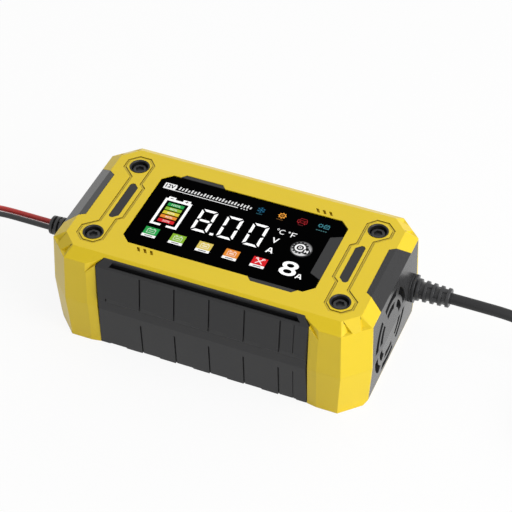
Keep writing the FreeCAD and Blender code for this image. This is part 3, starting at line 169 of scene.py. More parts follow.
class SurfaceGraph(NodeGraph):
    """One material's node tree round a Principled shader."""

    def __init__(self, name: str) -> None:
        """Args:
            name: the material's name.
        """
        self.material = bpy.data.materials.new(name)
        self.material.use_nodes = True
        super().__init__(self.material.node_tree)
        self.shader = self.add("ShaderNodeBsdfPrincipled")
        self.output = self.add("ShaderNodeOutputMaterial", {}, {"Surface": self.shader.outputs[0]})

    def set(self, **values: object) -> None:
        """Sets the Principled shader's inputs, named with _ for a space.

        Args:
            values: a value or link for each input.
        """
        for name, value in values.items():
            self.feed(self.shader.inputs[name.replace("_", " ")], value)

    def place(self) -> bpy.types.NodeSocket:
        """Where a point is on the object, in metres."""
        return self.add("ShaderNodeTexCoord").outputs["Object"]

    def noise(self, size: float, detail: float = 2.0, stretch: Triple = (1.0, 1.0, 1.0)) -> ShaderSocket:
        """Args:
            size: the size of a lump in metres.
            detail: how many finer layers it has.
            stretch: how many times shorter the lumps are along each axis.

        Returns:
            Smooth noise from 0 to 1.
        """
        scaled = self.add("ShaderNodeMapping", {}, {"Vector": self.place(), "Scale": stretch})
        sockets = {"Vector": scaled.outputs[0], "Scale": 1 / size, "Detail": detail}
        return ShaderSocket(self, self.add("ShaderNodeTexNoise", {}, sockets).outputs["Fac"])

    def bands(self, direction: str, scale: float, wander: float, detail: float = 2.0) -> ShaderSocket:
        """Args:
            direction: the axis that the bands follow one another along.
            scale: how closely they follow; the pitch in metres is pi over ten times the scale.
            wander: how far they stray.
            detail: how many finer layers the straying has.

        Returns:
            A sine wave from 0 to 1.
        """
        settings = {"bands_direction": direction, "wave_profile": "SIN"}
        sockets = {"Vector": self.place(), "Scale": scale, "Distortion": wander, "Detail": detail}
        return ShaderSocket(self, self.add("ShaderNodeTexWave", settings, sockets).outputs["Fac"])

    def along(self, way: Triple, place: bpy.types.NodeSocket | None = None) -> ShaderSocket:
        """Args:
            way: a direction of length 1.
            place: a vector, or nothing for the point on the object.

        Returns:
            How far the vector reaches that way.
        """
        sockets = {0: place or self.place(), 1: way}
        node = self.add("ShaderNodeVectorMath", {"operation": "DOT_PRODUCT"}, sockets)
        return ShaderSocket(self, node.outputs["Value"])

    def openness(self, reach: float) -> ShaderSocket:
        """Args:
            reach: how near a wall of the same piece must be to count, in metres.

        Returns:
            1 on open surfaces, about a half in a corner and less in a narrow slot.
        """
        node = self.add("ShaderNodeAmbientOcclusion", {"samples": 8, "only_local": True}, {"Distance": reach})
        return ShaderSocket(self, node.outputs["AO"])

    def mix(self, factor: Number, first: object, second: object) -> bpy.types.NodeSocket:
        """Args:
            factor: 0 for the first colour and 1 for the second.
            first: a colour or a link.
            second: a colour or a link.

        Returns:
            The mixed colour.
        """
        node = self.add("ShaderNodeMix", {"data_type": "RGBA"})
        for key, value in (("Factor_Float", factor), ("A_Color", first), ("B_Color", second)):
            socket = next(s for s in node.inputs if s.identifier == key)
            self.feed(socket, value)
        return next(s for s in node.outputs if s.identifier == "Result_Color")

    def relief(self, height: ShaderSocket, depth: float, rounding: float = 0.0) -> None:
        """Roughens the surface by a height field and softens the look of its edges.

        Args:
            height: the height, 0 to 1.
            depth: what 1 stands for, in metres.
            rounding: the radius that sharp edges seem to have, in metres.
        """
        sockets = {"Height": height, "Distance": depth, "Strength": 1.0}
        if rounding:
            sockets["Normal"] = self.add("ShaderNodeBevel", {"samples": 4}, {"Radius": rounding}).outputs[0]
        self.set(Normal=self.add("ShaderNodeBump", {}, sockets).outputs[0])


# ---------------------------------------------------------------- small helpers
def tinted(colour: Colour, factor: float) -> Colour:
    """The colour times a factor, at most 1."""
    return tuple(min(channel * factor, 1.0) for channel in colour)


def paled(colour: Colour, share: float) -> Colour:
    """The colour moved towards white by a share."""
    return tuple(value + (0.95 - value) * share for value in colour)


def heading(angle: float | np.ndarray) -> np.ndarray:
    """Directions of length 1 at one angle or at a row of angles, counted from the X axis."""
    return np.stack((np.cos(angle), np.sin(angle)), axis=-1)


def leftward(way: np.ndarray) -> np.ndarray:
    """The direction a quarter turn to the left of another."""
    return np.array([-way[1], way[0]])


def placed(name: str, data: bpy.types.ID) -> bpy.types.Object:
    """Args:
        name: the object's name.
        data: its mesh, curve, lamp or camera.

    Returns:
        A new object in the scene.
    """
    thing = bpy.data.objects.new(name, data)
    bpy.context.scene.collection.objects.link(thing)
    return thing


def meshed(name: str, points: Sequence, faces: Sequence) -> bpy.types.Object:
    """Args:
        name: the object's name.
        points: its corners in metres, as rows.
        faces: the numbers of each face's corners.

    Returns:
        A new object in the scene, with that mesh.
    """
    mesh = bpy.data.meshes.new(name)
    mesh.from_pydata(points, [], faces)
    mesh.update()
    return placed(name, mesh)


def dress(piece: bpy.types.Object, material: bpy.types.Material) -> None:
    """Puts one material on an object's own slots.

    Args:
        piece: the object.
        material: the material.
    """
    if not piece.material_slots:
        piece.data.materials.append(None)
    for slot in piece.material_slots:
        slot.link = "OBJECT"
        slot.material = material


# ---------------------------------------------------------------- finishes
@dataclass(frozen=True)
class Look:
    """The recipe of a material."""

    name: str

    def build(self) -> bpy.types.Material:
        """Returns:
            The material.
        """
        graph = SurfaceGraph(self.name)
        self.paint(graph)
        return graph.material

    def paint(self, graph: SurfaceGraph) -> None:
        """Sets the shader; each kind of surface has its own way.

        Args:
            graph: the material's node tree.
        """
        raise NotImplementedError


@dataclass(frozen=True)
class MouldedPlastic(Look):
    """Moulded plastic: fine spark texture, faint flow marks, uneven gloss and painted shade in its grooves
    and corners.
    """

    colour: Colour
    roughness: float
    grain: float = 0.45 * MM
    depth: float = 0.012 * MM
    flow_size: float = 22 * MM
    mottle: float = 0.05
    rounding: float = 0.25 * MM
    coat: float = 0.0
    specular: float = 0.5
    groove_shade: Colour | None = None
    groove_reach: float = 0.9 * MM
    groove_limit: float = 0.80
    groove_blur: float = 0.36
    groove_from: float = -1.0
    groove_fade: float = 0.4 * MM

    def paint(self, graph: SurfaceGraph) -> None:
        """The colour sways by the mottle and the gloss by 0.07 either way. Painted shade: where walls of the
        same piece are near, from a given height up, the colour is darkened towards the groove shade.

        Args:
            graph: the material's node tree.
        """
        flow, speckle = graph.noise(self.flow_size, 3.0), graph.noise(self.grain)
        shade = graph.mix(flow * 0.7 + speckle * 0.3, tinted(self.colour, 1 - self.mottle),
                          tinted(self.colour, 1 + self.mottle))
        if self.groove_shade:
            # painted shade in grooves and corners, from ambient occlusion, only above the given height
            plain = graph.openness(self.groove_reach).above(self.groove_limit, self.groove_blur)
            below = 1 - graph.along((0.0, 0.0, 1.0)).above(self.groove_from, self.groove_fade)
            shade = graph.mix(graph.maths("MAXIMUM", plain, below), self.groove_shade, shade)
        graph.set(Base_Color=shade, Roughness=flow * 0.08 + speckle * 0.06 + (self.roughness - 0.07))
        graph.set(Coat_Weight=self.coat, Coat_Roughness=0.08, Specular_IOR_Level=self.specular)
        graph.relief(speckle, self.depth, self.rounding)


@dataclass(frozen=True)
class SilverCap(Look):
    """A round satin cap with a painted sheen: it dims from its front edge to its back edge, and its rim is
    dark.
    """

    node: str
    bright: Colour = (0.80, 0.80, 0.81)
    dim: Colour = (0.14, 0.14, 0.145)
    dark: Colour = (0.02, 0.02, 0.021)
    dark_from: float = 5.7 * MM
    dark_blur: float = 0.5 * MM
    fading: float = 12 * MM
    streak: float = 0.4 * MM

    def paint(self, graph: SurfaceGraph) -> None:
        """The place, less the cap's middle and made flat, gives the painted sheen along Y and, by its length,
        the rim.

        Args:
            graph: the material's node tree.
        """
        low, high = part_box(self.node)
        middle = ((low.x + high.x) / 2, (low.y + high.y) / 2, 0.0)
        kind = "ShaderNodeVectorMath"
        moved = graph.add(kind, {"operation": "SUBTRACT"}, {0: graph.place(), 1: middle})
        flat = graph.add(kind, {"operation": "MULTIPLY"}, {0: moved.outputs[0], 1: (1.0, 1.0, 0.0)})
        far = graph.add(kind, {"operation": "LENGTH"}, {0: flat.outputs[0]})
        streak = graph.noise(self.streak, 2.0, (0.15, 1.0, 1.0))
        # painted sheen: lighter at the cap's front edge and darker at its back, as light falls on it; the
        # streaks are the brushing
        painted_sheen = graph.along((0.0, 1.0, 0.0), flat.outputs[0]) / self.fading + (streak * 0.12 + 0.44)
        edge = ShaderSocket(graph, far.outputs["Value"]).above(self.dark_from, self.dark_blur)
        silver = graph.mix(painted_sheen, self.bright, self.dim)
        graph.set(Base_Color=graph.mix(edge, silver, self.dark), Roughness=streak * 0.1 + 0.32)
        graph.relief(streak, 0.004 * MM)


@dataclass(frozen=True)
class DisplayGlass(Look):
    """The display's black window: smooth, with faint smears."""

    colour: Colour = (0.0003, 0.0003, 0.0004)
    smear: float = 14 * MM

    def paint(self, graph: SurfaceGraph) -> None:
        """Args:
            graph: the material's node tree.
        """
        smear = graph.noise(self.smear, 4.0, (1.0, 0.4, 1.0))
        graph.set(Base_Color=graph.mix(smear, self.colour, tinted(self.colour, 1.6)))
        graph.set(Roughness=smear * 0.05 + 0.10, Specular_IOR_Level=0.003)


@dataclass(frozen=True)
class Rubber(Look):
    """Soft rubber or flexible vinyl: a cloudy bloom in its colour and a fine grain in its gloss."""

    colour: Colour
    roughness: float = 0.5
    grain: float = 0.8 * MM
    depth: float = 0.02 * MM
    bloom: float = 9 * MM
    rounding: float = 0.0

    def paint(self, graph: SurfaceGraph) -> None:
        """Args:
            graph: the material's node tree.
        """
        bloom, grain = graph.noise(self.bloom, 3.0), graph.noise(self.grain)
        graph.set(Base_Color=graph.mix(bloom, tinted(self.colour, 0.85), tinted(self.colour, 1.18)))
        graph.set(Roughness=grain * 0.12 + (self.roughness - 0.06))
        graph.relief(grain, self.depth, self.rounding)


@dataclass(frozen=True)
class Metal(Look):
    """Drawn, turned or blackened metal: streaks along one axis in colour, gloss and height."""

    colour: Colour
    roughness: float = 0.3
    stretch: Triple = (1.0, 1.0, 0.12)
    tarnish: float = 0.25
    streak: float = 0.5 * MM
    patch: float = 6 * MM

    def paint(self, graph: SurfaceGraph) -> None:
        """Args:
            graph: the material's node tree.
        """
        streak = graph.noise(self.streak, 3.0, self.stretch)
        patch = graph.noise(self.patch).above(0.55, 0.3)
        dull = tinted(self.colour, 1 - self.tarnish)
        graph.set(Base_Color=graph.mix(patch * 0.6 + streak * 0.4, self.colour, dull), Metallic=1.0)
        graph.set(Roughness=streak * 0.16 + patch * 0.08 + (self.roughness - 0.08))
        graph.relief(streak, 0.01 * MM)


@dataclass(frozen=True)
class CircuitBoard(Look):
    """Solder mask over copper tracks, with pale pads here and there."""

    mask: Colour = (0.01, 0.09, 0.03)
    track: Colour = (0.03, 0.19, 0.07)
    pad: Colour = (0.55, 0.5, 0.4)
    pad_size: float = 2.2 * MM
    track_scale: float = 140.0

    def paint(self, graph: SurfaceGraph) -> None:
        """Args:
            graph: the material's node tree.
        """
        tracks = graph.bands("X", self.track_scale, 3.0, 0.0).above(0.6, 0.1)
        pads = graph.noise(self.pad_size, 0.0).above(0.68, 0.04)
        laid = graph.mix(tracks, self.mask, self.track)
        graph.set(Base_Color=graph.mix(pads, laid, self.pad), Roughness=0.45 - pads * 0.15)
        graph.relief(tracks * 0.5 + pads * 0.5, 0.03 * MM)


@dataclass(frozen=True)
class WoundWire(Look):
    """Close turns of enamelled wire, or stacked sheet steel: fine parallel ridges with darkened valleys."""

    colour: Colour
    pitch: float = 0.8 * MM
    direction: str = "Z"
    metallic: float = 1.0

    def paint(self, graph: SurfaceGraph) -> None:
        """Args:
            graph: the material's node tree.
        """
        ridge = graph.bands(self.direction, math.pi / (10 * self.pitch), 0.3)
        # the valleys are darkened: painted shade between the turns of wire, and the dark joints between
        # stacked sheets
        graph.set(Base_Color=graph.mix(ridge, tinted(self.colour, 0.35), self.colour), Metallic=self.metallic)
        graph.set(Roughness=0.5 - ridge * 0.15)
        graph.relief(ridge, 0.15 * MM)


@dataclass(frozen=True)
class LitInk(Look):
    """A lit or printed mark on the display or on the button: its own light with a fine grain, which on the
    button's print is a painted glow.
    """

    colour: Colour
    light: float = 0.85
    grain: float = 0.6 * MM
    unlit: float = 0.25

    def paint(self, graph: SurfaceGraph) -> None:
        """Args:
            graph: the material's node tree.
        """
        grain = graph.noise(self.grain, 1.0)
        lit = graph.mix(grain, tinted(self.colour, 0.92), self.colour)
        dim = graph.mix(1 - self.unlit, lit, (0.0, 0.0, 0.0))
        graph.set(Base_Color=dim, Roughness=0.35, Specular_IOR_Level=0.1)
        graph.set(Emission_Color=lit, Emission_Strength=self.light)


class Finish(Enum):
    """Every finish on the object, with the CAD nodes that wear it."""

    # the yellow's groove shade is painted shade in the engraved lines, slashes and corners of the top
    YELLOW = (MouldedPlastic("moulded_yellow", (0.755, 0.548, 0.009), 0.36, specular=0.40,
                             groove_shade=(0.12, 0.075, 0.003), groove_from=64.6 * MM),
              "upper_shell", "lower_shell")
    # the grip's groove shade is painted shade in the seams and undercuts between its tiles
    GRIP = (MouldedPlastic("moulded_grip", (0.013, 0.013, 0.014), 0.46, depth=0.02 * MM, mottle=0.12,
                           specular=0.4, groove_shade=(0.0055, 0.0055, 0.0055)),
            "front_grip", "rear_grip")
    PANEL = (MouldedPlastic("moulded_panel", (0.033, 0.033, 0.034), 0.27, mottle=0.10, specular=0.24),
             "fan_panel")
    SHINY_PANEL = (MouldedPlastic("moulded_glossy", (0.013, 0.013, 0.014), 0.22, mottle=0.10, specular=0.85),
                   "output_panel")
    TRIM = (MouldedPlastic("moulded_trim", (0.019, 0.019, 0.020), 0.42, rounding=0.2 * MM, specular=0.3),
            "inlay_left", "inlay_right", "display_frame")
    BLACK = (MouldedPlastic("moulded_black", (0.010, 0.010, 0.011), 0.42, rounding=0.2 * MM, specular=0.35),
             "screw_cups", "lcd_module", "button_switch", "power_transistors", "fuse_holder")
    FAN = (MouldedPlastic("moulded_fan", (0.004, 0.004, 0.004), 0.5, rounding=0.2 * MM, specular=0.1),
           "fan_frame", "fan_rotor")
    BUTTON = SilverCap("satin_silver", "mode_button"), "mode_button"
    GLASS = DisplayGlass("display_glass"), "display_lens"
    RUBBER = (Rubber("rubber_boot", (0.027, 0.027, 0.029), 0.36, rounding=0.45 * MM),
              "ac_boot", "dc_boot", "mains_plug")
    FEET = Rubber("rubber_feet", (0.02, 0.02, 0.021), 0.7), "rubber_feet"
    DARK_STEEL = Metal("blackened_steel", (0.085, 0.085, 0.088), 0.5), "cover_screws", "fan_screws"
    STEEL = (Metal("bright_steel", (0.55, 0.55, 0.56), 0.28),
             "board_screws", "red_clamp_pin", "red_clamp_spring", "black_clamp_pin", "black_clamp_spring")
    BRASS = Metal("nickelled_brass", (0.72, 0.58, 0.32), 0.26, (0.12, 1.0, 1.0)), "plug_blades"
    COPPER = (Metal("copper_contact", (0.72, 0.33, 0.17), 0.3, (1.0, 0.2, 1.0)),
              "red_jaw_fixed", "red_jaw_moving", "black_jaw_fixed", "black_jaw_moving")
    RED_CLAMP = (MouldedPlastic("moulded_red", (0.60, 0.012, 0.014), 0.32, coat=0.2),
                 "red_clamp_fixed", "red_clamp_moving")
    BLACK_CLAMP = (MouldedPlastic("moulded_clamp", (0.014, 0.014, 0.016), 0.32, coat=0.2),
                   "black_clamp_fixed", "black_clamp_moving")
    BOARD = CircuitBoard("circuit_board"), "main_board", "display_board"
    WINDING = WoundWire("copper_winding", (0.70, 0.30, 0.12)), "transformer_winding", "output_choke"
    CORE = WoundWire("stacked_core", (0.10, 0.095, 0.09), 0.5 * MM, "Y", 0.4), "transformer_core"
    CAN = MouldedPlastic("capacitor_sleeve", (0.015, 0.02, 0.06), 0.3, mottle=0.08), "capacitors"
    ALUMINIUM = Metal("extruded_aluminium", (0.62, 0.63, 0.64), 0.35, (0.1, 1.0, 1.0)), "heat_sink"
    TERMINAL = MouldedPlastic("moulded_terminal", (0.02, 0.20, 0.08), 0.45), "terminal_block"
    FLEX = Rubber("cord_jacket", (0.004, 0.004, 0.005), 0.55)
    RED_LEAD = Rubber("lead_red_jacket", (0.50, 0.028, 0.022), 0.4)
    BLACK_LEAD = Rubber("lead_black_jacket", (0.022, 0.022, 0.024), 0.4)
    STRAP = Rubber("tie_strap", (0.012, 0.012, 0.013), 0.8, grain=0.4 * MM, depth=0.15 * MM)

    def __init__(self, look: Look, *nodes: str) -> None:
        """Args:
            look: the material's recipe.
            nodes: the CAD nodes that wear it.
        """
        self.look = look
        self.nodes = nodes

    def material(self) -> bpy.types.Material:
        """The finish's material, built the first time that it is asked for."""
        return bpy.data.materials.get(self.look.name) or self.look.build()


# ---------------------------------------------------------------- flat marks, as thin raised shapes
class Marks:
    """Collects flat outlines and turns them into one thin raised mesh."""

    def __init__(self, name: str, low: float, high: float) -> None:
        """Args:
            name: the piece's name.
            low: the height of the underside, in metres.
            high: the height of the face, in metres.
        """
        self.name = name
        self.low = low
        self.high = high
        self.points: list[np.ndarray] = []
        self.faces: list[tuple[int, ...]] = []
        self.count = 0

    def outline(self, points: Sequence[Sequence[float]] | np.ndarray) -> "Marks":
        """Adds a filled outline: its points at two heights, two caps and a wall of four-sided faces.

        Args:
            points: X and Y in millimetres, anticlockwise or clockwise.

        Returns:
            The collection itself.
        """
        flat = np.asarray(points, float) * MM
        x, y = flat.T
        area = np.sum(x * np.roll(y, -1) - np.roll(x, -1) * y)
        flat, size, first = flat if area > 0 else flat[::-1], len(flat), self.count
        heights = np.repeat([self.low, self.high], size)
        self.points.append(np.column_stack((np.tile(flat, (2, 1)), heights)))
        ring = np.arange(size) + first
        after = np.roll(ring, -1)
        walls = np.column_stack((ring, after, after + size, ring + size))
        self.faces += [tuple(ring[::-1]), tuple(ring + size), *map(tuple, walls)]
        self.count += 2 * size
        return self

    def box(self, x0: float, x1: float, y0: float, y1: float) -> "Marks":
        """Adds an upright rectangle, in millimetres."""
        return self.outline([(x0, y0), (x1, y0), (x1, y1), (x0, y1)])

    def frame(self, x0: float, x1: float, y0: float, y1: float, width: float) -> "Marks":
        """Adds the four sides of a rectangle, each as thick as the width, in millimetres."""
        self.box(x0, x1, y0, y0 + width).box(x0, x1, y1 - width, y1)
        return self.box(x0, x0 + width, y0 + width, y1 - width).box(x1 - width, x1, y0 + width, y1 - width)

    def bar(self, start: Sequence[float], end: Sequence[float], width: float) -> "Marks":
        """Adds a straight stroke: a rectangle round the line from start to end.

        Args:
            start: X and Y in millimetres.
            end: X and Y in millimetres.
            width: the stroke's width.

        Returns:
            The collection itself.
        """
        first, last = np.asarray(start, float), np.asarray(end, float)
        side = leftward(last - first) / np.linalg.norm(last - first) * width / 2
        return self.outline([first + side, first - side, last - side, last + side])

    def arc(self, centre: Sequence[float], radius: float, width: float, start: float = 0.0,
            sweep: float = 360.0) -> "Marks":
        """Adds part of a ring: points at two radii round a centre, out along one and back along the other.

        Args:
            centre: X and Y in millimetres.
            radius: the middle of the stroke.
            width: the stroke's width.
            start: the first angle in degrees.
            sweep: how far it goes round.

        Returns:
            The collection itself.
        """
        parts = 1 if sweep < 300 else 2
        for part in range(parts):
            first = start + sweep / parts * part
            way = heading(np.radians(np.linspace(first, first + sweep / parts, 19)))
            outer, inner = way * (radius + width / 2), way[::-1] * (radius - width / 2)
            self.outline(np.vstack((outer, inner)) + np.asarray(centre, float))
        return self

    def disc(self, centre: Sequence[float], radius: float) -> "Marks":
        """Adds a filled circle of 32 points, in millimetres."""
        circle = heading(np.linspace(0, 2 * np.pi, 32, endpoint=False)) * radius
        return self.outline(circle + np.asarray(centre, float))

    def spokes(self, centre: Sequence[float], near: float, far: float, width: float, count: int,
               first: float = 0.0) -> "Marks":
        """Adds straight strokes that point away from a centre, evenly round it.

        Args:
            centre: X and Y in millimetres.
            near: how far out they start.
            far: how far out they end.
            width: each stroke's width.
            count: how many there are.
            first: how far round the first one is, as a share of the step between them.

        Returns:
            The collection itself.
        """
        for way in heading(2 * np.pi * (np.arange(count) + first) / count):
            self.bar(way * near + centre, way * far + centre, width)
        return self

    def letters(self, text: str, centre: Sequence[float], height: float, bold: float = 0.0,
                wide: float = 1.0) -> "Marks":
        """Adds lettering from the built-in typeface: flat faces, scaled to the height and then centred.

        Args:
            text: numbers or a unit.
            centre: X and Y of its middle, in millimetres.
            height: the height of a capital, in millimetres.
            bold: how far strokes swell on each side, as a share of the height.
            wide: how many times wider than usual the lettering is.

        Returns:
            The collection itself.
        """
        curve = bpy.data.curves.new(self.name + "_text", "FONT")
        curve.body = text
        curve.size = 1.0
        curve.offset = bold
        carrier = placed(self.name + "_text", curve)
        bpy.context.view_layer.update()
        mesh = bpy.data.meshes.new_from_object(carrier.evaluated_get(bpy.context.evaluated_depsgraph_get()))
        flat = np.zeros(len(mesh.vertices) * 3)
        mesh.vertices.foreach_get("co", flat)
        flat = flat.reshape(-1, 3)[:, :2]
        low, high = flat.min(0), flat.max(0)
        scale = np.array([wide, 1.0]) * height / (high[1] - low[1])
        flat = (flat - (low + high) / 2) * scale + np.asarray(centre, float)
        points = np.column_stack((flat * MM, np.full(len(flat), self.high)))
        self.points.append(points)
        self.faces += [tuple(np.array(face.vertices) + self.count) for face in mesh.polygons]
        self.count += len(points)
        bpy.data.objects.remove(carrier)
        return self

    def finish(self, body: str, colour: Colour, light: float = 0.85) -> bpy.types.Object:
        """Makes the piece and puts it on its body.

        Args:
            body: the body that it rides on.
            colour: its linear colour.
            light: how strongly it is lit.

        Returns:
            The piece.
        """
        faces = [[int(index) for index in face] for face in self.faces]
        piece = meshed(self.name, np.vstack(self.points).tolist(), faces)
        dress(piece, LitInk(self.name + "_ink", colour, light).build())
        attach(piece, body)
        log.info("%s: %d points", self.name, self.count)
        return piece


WHITE: Colour = (0.93, 0.93, 0.93)
GREEN: Colour = (0.010, 0.33, 0.06)
LIME: Colour = (0.24, 0.46, 0.025)
GOLD: Colour = (0.70, 0.56, 0.03)
STRAW: Colour = (0.68, 0.53, 0.11)
ORANGE: Colour = (0.77, 0.245, 0.022)
RED: Colour = (0.66, 0.007, 0.012)
MAROON: Colour = (0.16, 0.06, 0.06)
PALE: Colour = (0.80, 0.80, 0.80)
GREY: Colour = (0.35, 0.35, 0.35)
INK: Colour = (0.004, 0.004, 0.005)


@dataclass
class DisplayPart:
    """Something that the display shows, laid on its window in thin layers. Places are in millimetres."""

    base: float = field(default_factory=lambda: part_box("display_lens")[1].z)
    lift: float = 0.02 * MM
    layer: float = 0.03 * MM

    def marks(self, name: str, level: int = 0) -> Marks:
        """Args:
            name: the piece's name.
            level: 0 on the face below, 1 or more on top of other marks.

        Returns:
            An empty collection at that level.
        """
        low = self.base + self.lift + level * self.layer
        return Marks(name, low, low + self.layer * 0.8)


@dataclass
class Reading(DisplayPart):
    """The reading, 8.00, with its units, and the large current setting."""

    left: float = -25.2
    pitch: float = 15.9
    width: float = 10.0
    heights: Triple = (-7.9, 1.7, 11.3)
    stroke: float = 1.75
    gap: float = 0.82
    point: tuple[float, float, float, float] = (-13.3, -11.1, -8.1, -6.3)

    def segment(self, marks: Marks, start: Pair, end: Pair,
                cuts: Pair) -> None:
        """Adds an outer bar of a figure: its outer edge and, a stroke to the left, a shorter inner edge.

        Args:
            marks: where it goes.
            start: where the outer edge starts, in millimetres.
            end: where the outer edge ends.
            cuts: how much the inner edge is cut back at each end.
        """
        first, last = np.asarray(start, float), np.asarray(end, float)
        along = (last - first) / np.linalg.norm(last - first)
        inward = leftward(along) * self.stroke
        marks.outline([first, last, last + inward - along * cuts[1], first + inward + along * cuts[0]])

    def figure(self, marks: Marks, left: float, lit: str) -> None:
        """Adds a seven-bar figure, whose bars meet at mitred corners with a gap between.

        Args:
            marks: where it goes.
            left: its left edge, in millimetres.
            lit: the bars that are lit, by the letters a to g.
        """
        gap, whole, half = self.gap, self.stroke, self.stroke / 2
        right, (low, middle, high) = left + self.width, self.heights
        bars = {
            "a": ((right - gap, high), (left + gap, high), (whole, whole)),
            "b": ((right, middle + gap / 2), (right, high - gap), (half, whole)),
            "c": ((right, low + gap), (right, middle - gap / 2), (whole, half)),
            "d": ((left + gap, low), (right - gap, low), (whole, whole)),
            "e": ((left, middle - gap / 2), (left, low + gap), (half, whole)),
            "f": ((left, high - gap), (left, middle + gap / 2), (whole, half)),
        }
        for letter in lit.replace("g", ""):
            self.segment(marks, *bars[letter])
        if "g" in lit:
            x0, x1 = left + half + gap, right - half - gap
            under, over = middle - half, middle + half
            marks.outline([(x0, middle), (x0 + half, under), (x1 - half, under), (x1, middle),
                           (x1 - half, over), (x0 + half, over)])

    def capital_a(self, marks: Marks, centre: Pair, width: float, height: float) -> None:
        """Adds a bold letter A: two legs from a flat top and a bar between them, low down.

        Args:
            marks: where it goes.
            centre: its middle, in millimetres.
            width: how wide the feet stand.
            height: how tall it is.
        """
        (x, y), stem, half, rise = centre, width * 0.23, width / 2, height / 2
        for side in (-1, 1):
            marks.outline([(x + side * half, y - rise), (x + side * (half - stem), y - rise),
                           (x - side * stem * 0.1, y + rise), (x + side * stem * 0.62, y + rise)])
        marks.box(x - half * 0.55, x + half * 0.55, y - rise * 0.52, y - rise * 0.16)

    def build(self) -> None:
        """Makes the figures and their point, then the units; the sign for °F is drawn by strokes."""
        marks = self.marks("reading")
        for index, lit in enumerate(("abcdefg", "abcdef", "abcdef")):
            self.figure(marks, self.left + self.pitch * index, lit)
        marks.box(*self.point).finish(HOUSING, WHITE, 1.0)
        units = self.marks("units")
        units.letters("°C", (23.6, 9.9), 4.1, 0.0, 0.88).letters("V", (23.5, 1.7), 4.5, 0.015)
        units.arc((28.7, 11.1), 0.45, 0.35).bar((30.5, 7.6), (30.5, 11.6), 0.62)
        units.bar((30.85, 11.35), (33.2, 11.35), 0.5).bar((30.85, 9.4), (32.5, 9.4), 0.5)
        self.capital_a(units, (23.7, -6.9), 4.4, 4.5)
        self.capital_a(units, (46.6, -20.8), 4.0, 3.9)
        units.letters("8", (39.15, -16.9), 11.7, 0.01, 1.36)
        units.finish(HOUSING, WHITE, 0.95)


@dataclass
class Gauge(DisplayPart):
    """The battery gauge: an outline with two terminals and five coloured levels."""

    left: float = -49.0
    right: float = -32.3
    low: float = -11.6
    lid: Pair = (10.3, 12.0)
    wall: float = 1.6
    flap: float = 5.0
    terminals: tuple[Pair, ...] = ((-47.6, -43.1), (-38.4, -33.7))
    terminal_top: float = 13.8
    levels: tuple[float, ...] = (7.4, 3.8, 0.3, -3.2, -6.9)
    level_edges: Pair = (-45.7, -35.7)
    level_half: float = 1.3
    legend: float = -40.6

    def build(self) -> None:
        """Makes the outline, the signs on its terminals and the levels with their legends."""
        under, over = self.lid
        inner_left, inner_right, floor = self.left + self.wall, self.right - self.wall, self.low + self.wall
        case = self.marks("gauge_case").box(self.left, self.right, under, over)
        case.box(self.left, inner_left, self.low, under).box(inner_right, self.right, self.low, under)
        case.box(inner_left, inner_left + self.flap, self.low, floor)
        case.box(inner_right - self.flap, inner_right, self.low, floor)
        for start, end in self.terminals:
            case.box(start, end, over, self.terminal_top)
        case.finish(HOUSING, WHITE, 0.95)
        self.marks("gauge_minus", 1).bar((-46.4, 12.4), (-44.4, 12.4), 0.7).finish(HOUSING, INK, 0.0)
        plus = self.marks("gauge_plus", 1)
        plus.bar((-37.2, 12.5), (-34.9, 12.5), 0.55).bar((-36.05, 11.6), (-36.05, 13.4), 0.55)
        plus.finish(HOUSING, MAROON, 0.3)
        colours, percents = (GREEN, LIME, GOLD, ORANGE, RED), (100, 80, 60, 40, 20)
        for index, (colour, height, percent) in enumerate(zip(colours, self.levels, percents)):
            level = self.marks(f"gauge_level_{index}")
            level.box(*self.level_edges, height - self.level_half, height + self.level_half)
            level.finish(HOUSING, colour)
            legend = self.marks(f"gauge_legend_{index}", 1)
            legend.letters(f"{percent}%", (self.legend, height), 1.6, 0.015, 1.3)
            legend.finish(HOUSING, paled(colour, 0.55))


@dataclass
class Header(DisplayPart):
    """The rating in a box, with a plain row of ticks over a rule beside it."""

    left: float = -54.6
    low: float = 19.9
    high: float = 24.5
    rule_end: float = -7.0
    rule: float = 0.5
    ticks: int = 24
    tick_left: float = -45.3
    tick_pitch: float = 1.95
    tick_low: float = 21.0
    tick_heights: tuple[float, ...] = (2.8, 2.3, 2.8, 1.8)

    def build(self) -> None:
        """Makes the box and the rule, then the rating on the box, then the ticks, which lean a little."""
        box = self.marks("rating_box")
        box.outline([(self.left, self.low), (-47.3, self.low), (-46.8, 22.0), (-47.3, self.high),
                     (self.left, self.high)])
        box.bar((self.left, 19.6), (self.rule_end, 19.6), self.rule)
        for index in range(3):
            box.bar((-5.2 + 1.7 * index, 19.7), (-4.4 + 1.7 * index, 19.7), 0.6)
        box.finish(HOUSING, WHITE, 0.8)
        rating = self.marks("rating", 1).letters("12V", (-50.8, 22.2), 3.3, 0.035, 0.92)
        rating.finish(HOUSING, INK, 0.0)
        ticks, low = self.marks("header_ticks"), self.tick_low
        for index in range(self.ticks):
            left = self.tick_left + self.tick_pitch * index
            high = low + self.tick_heights[index % len(self.tick_heights)]
            ticks.outline([(left, low), (left + 0.9, low), (left + 1.25, high), (left + 0.35, high)])
        ticks.finish(HOUSING, PALE, 0.8)


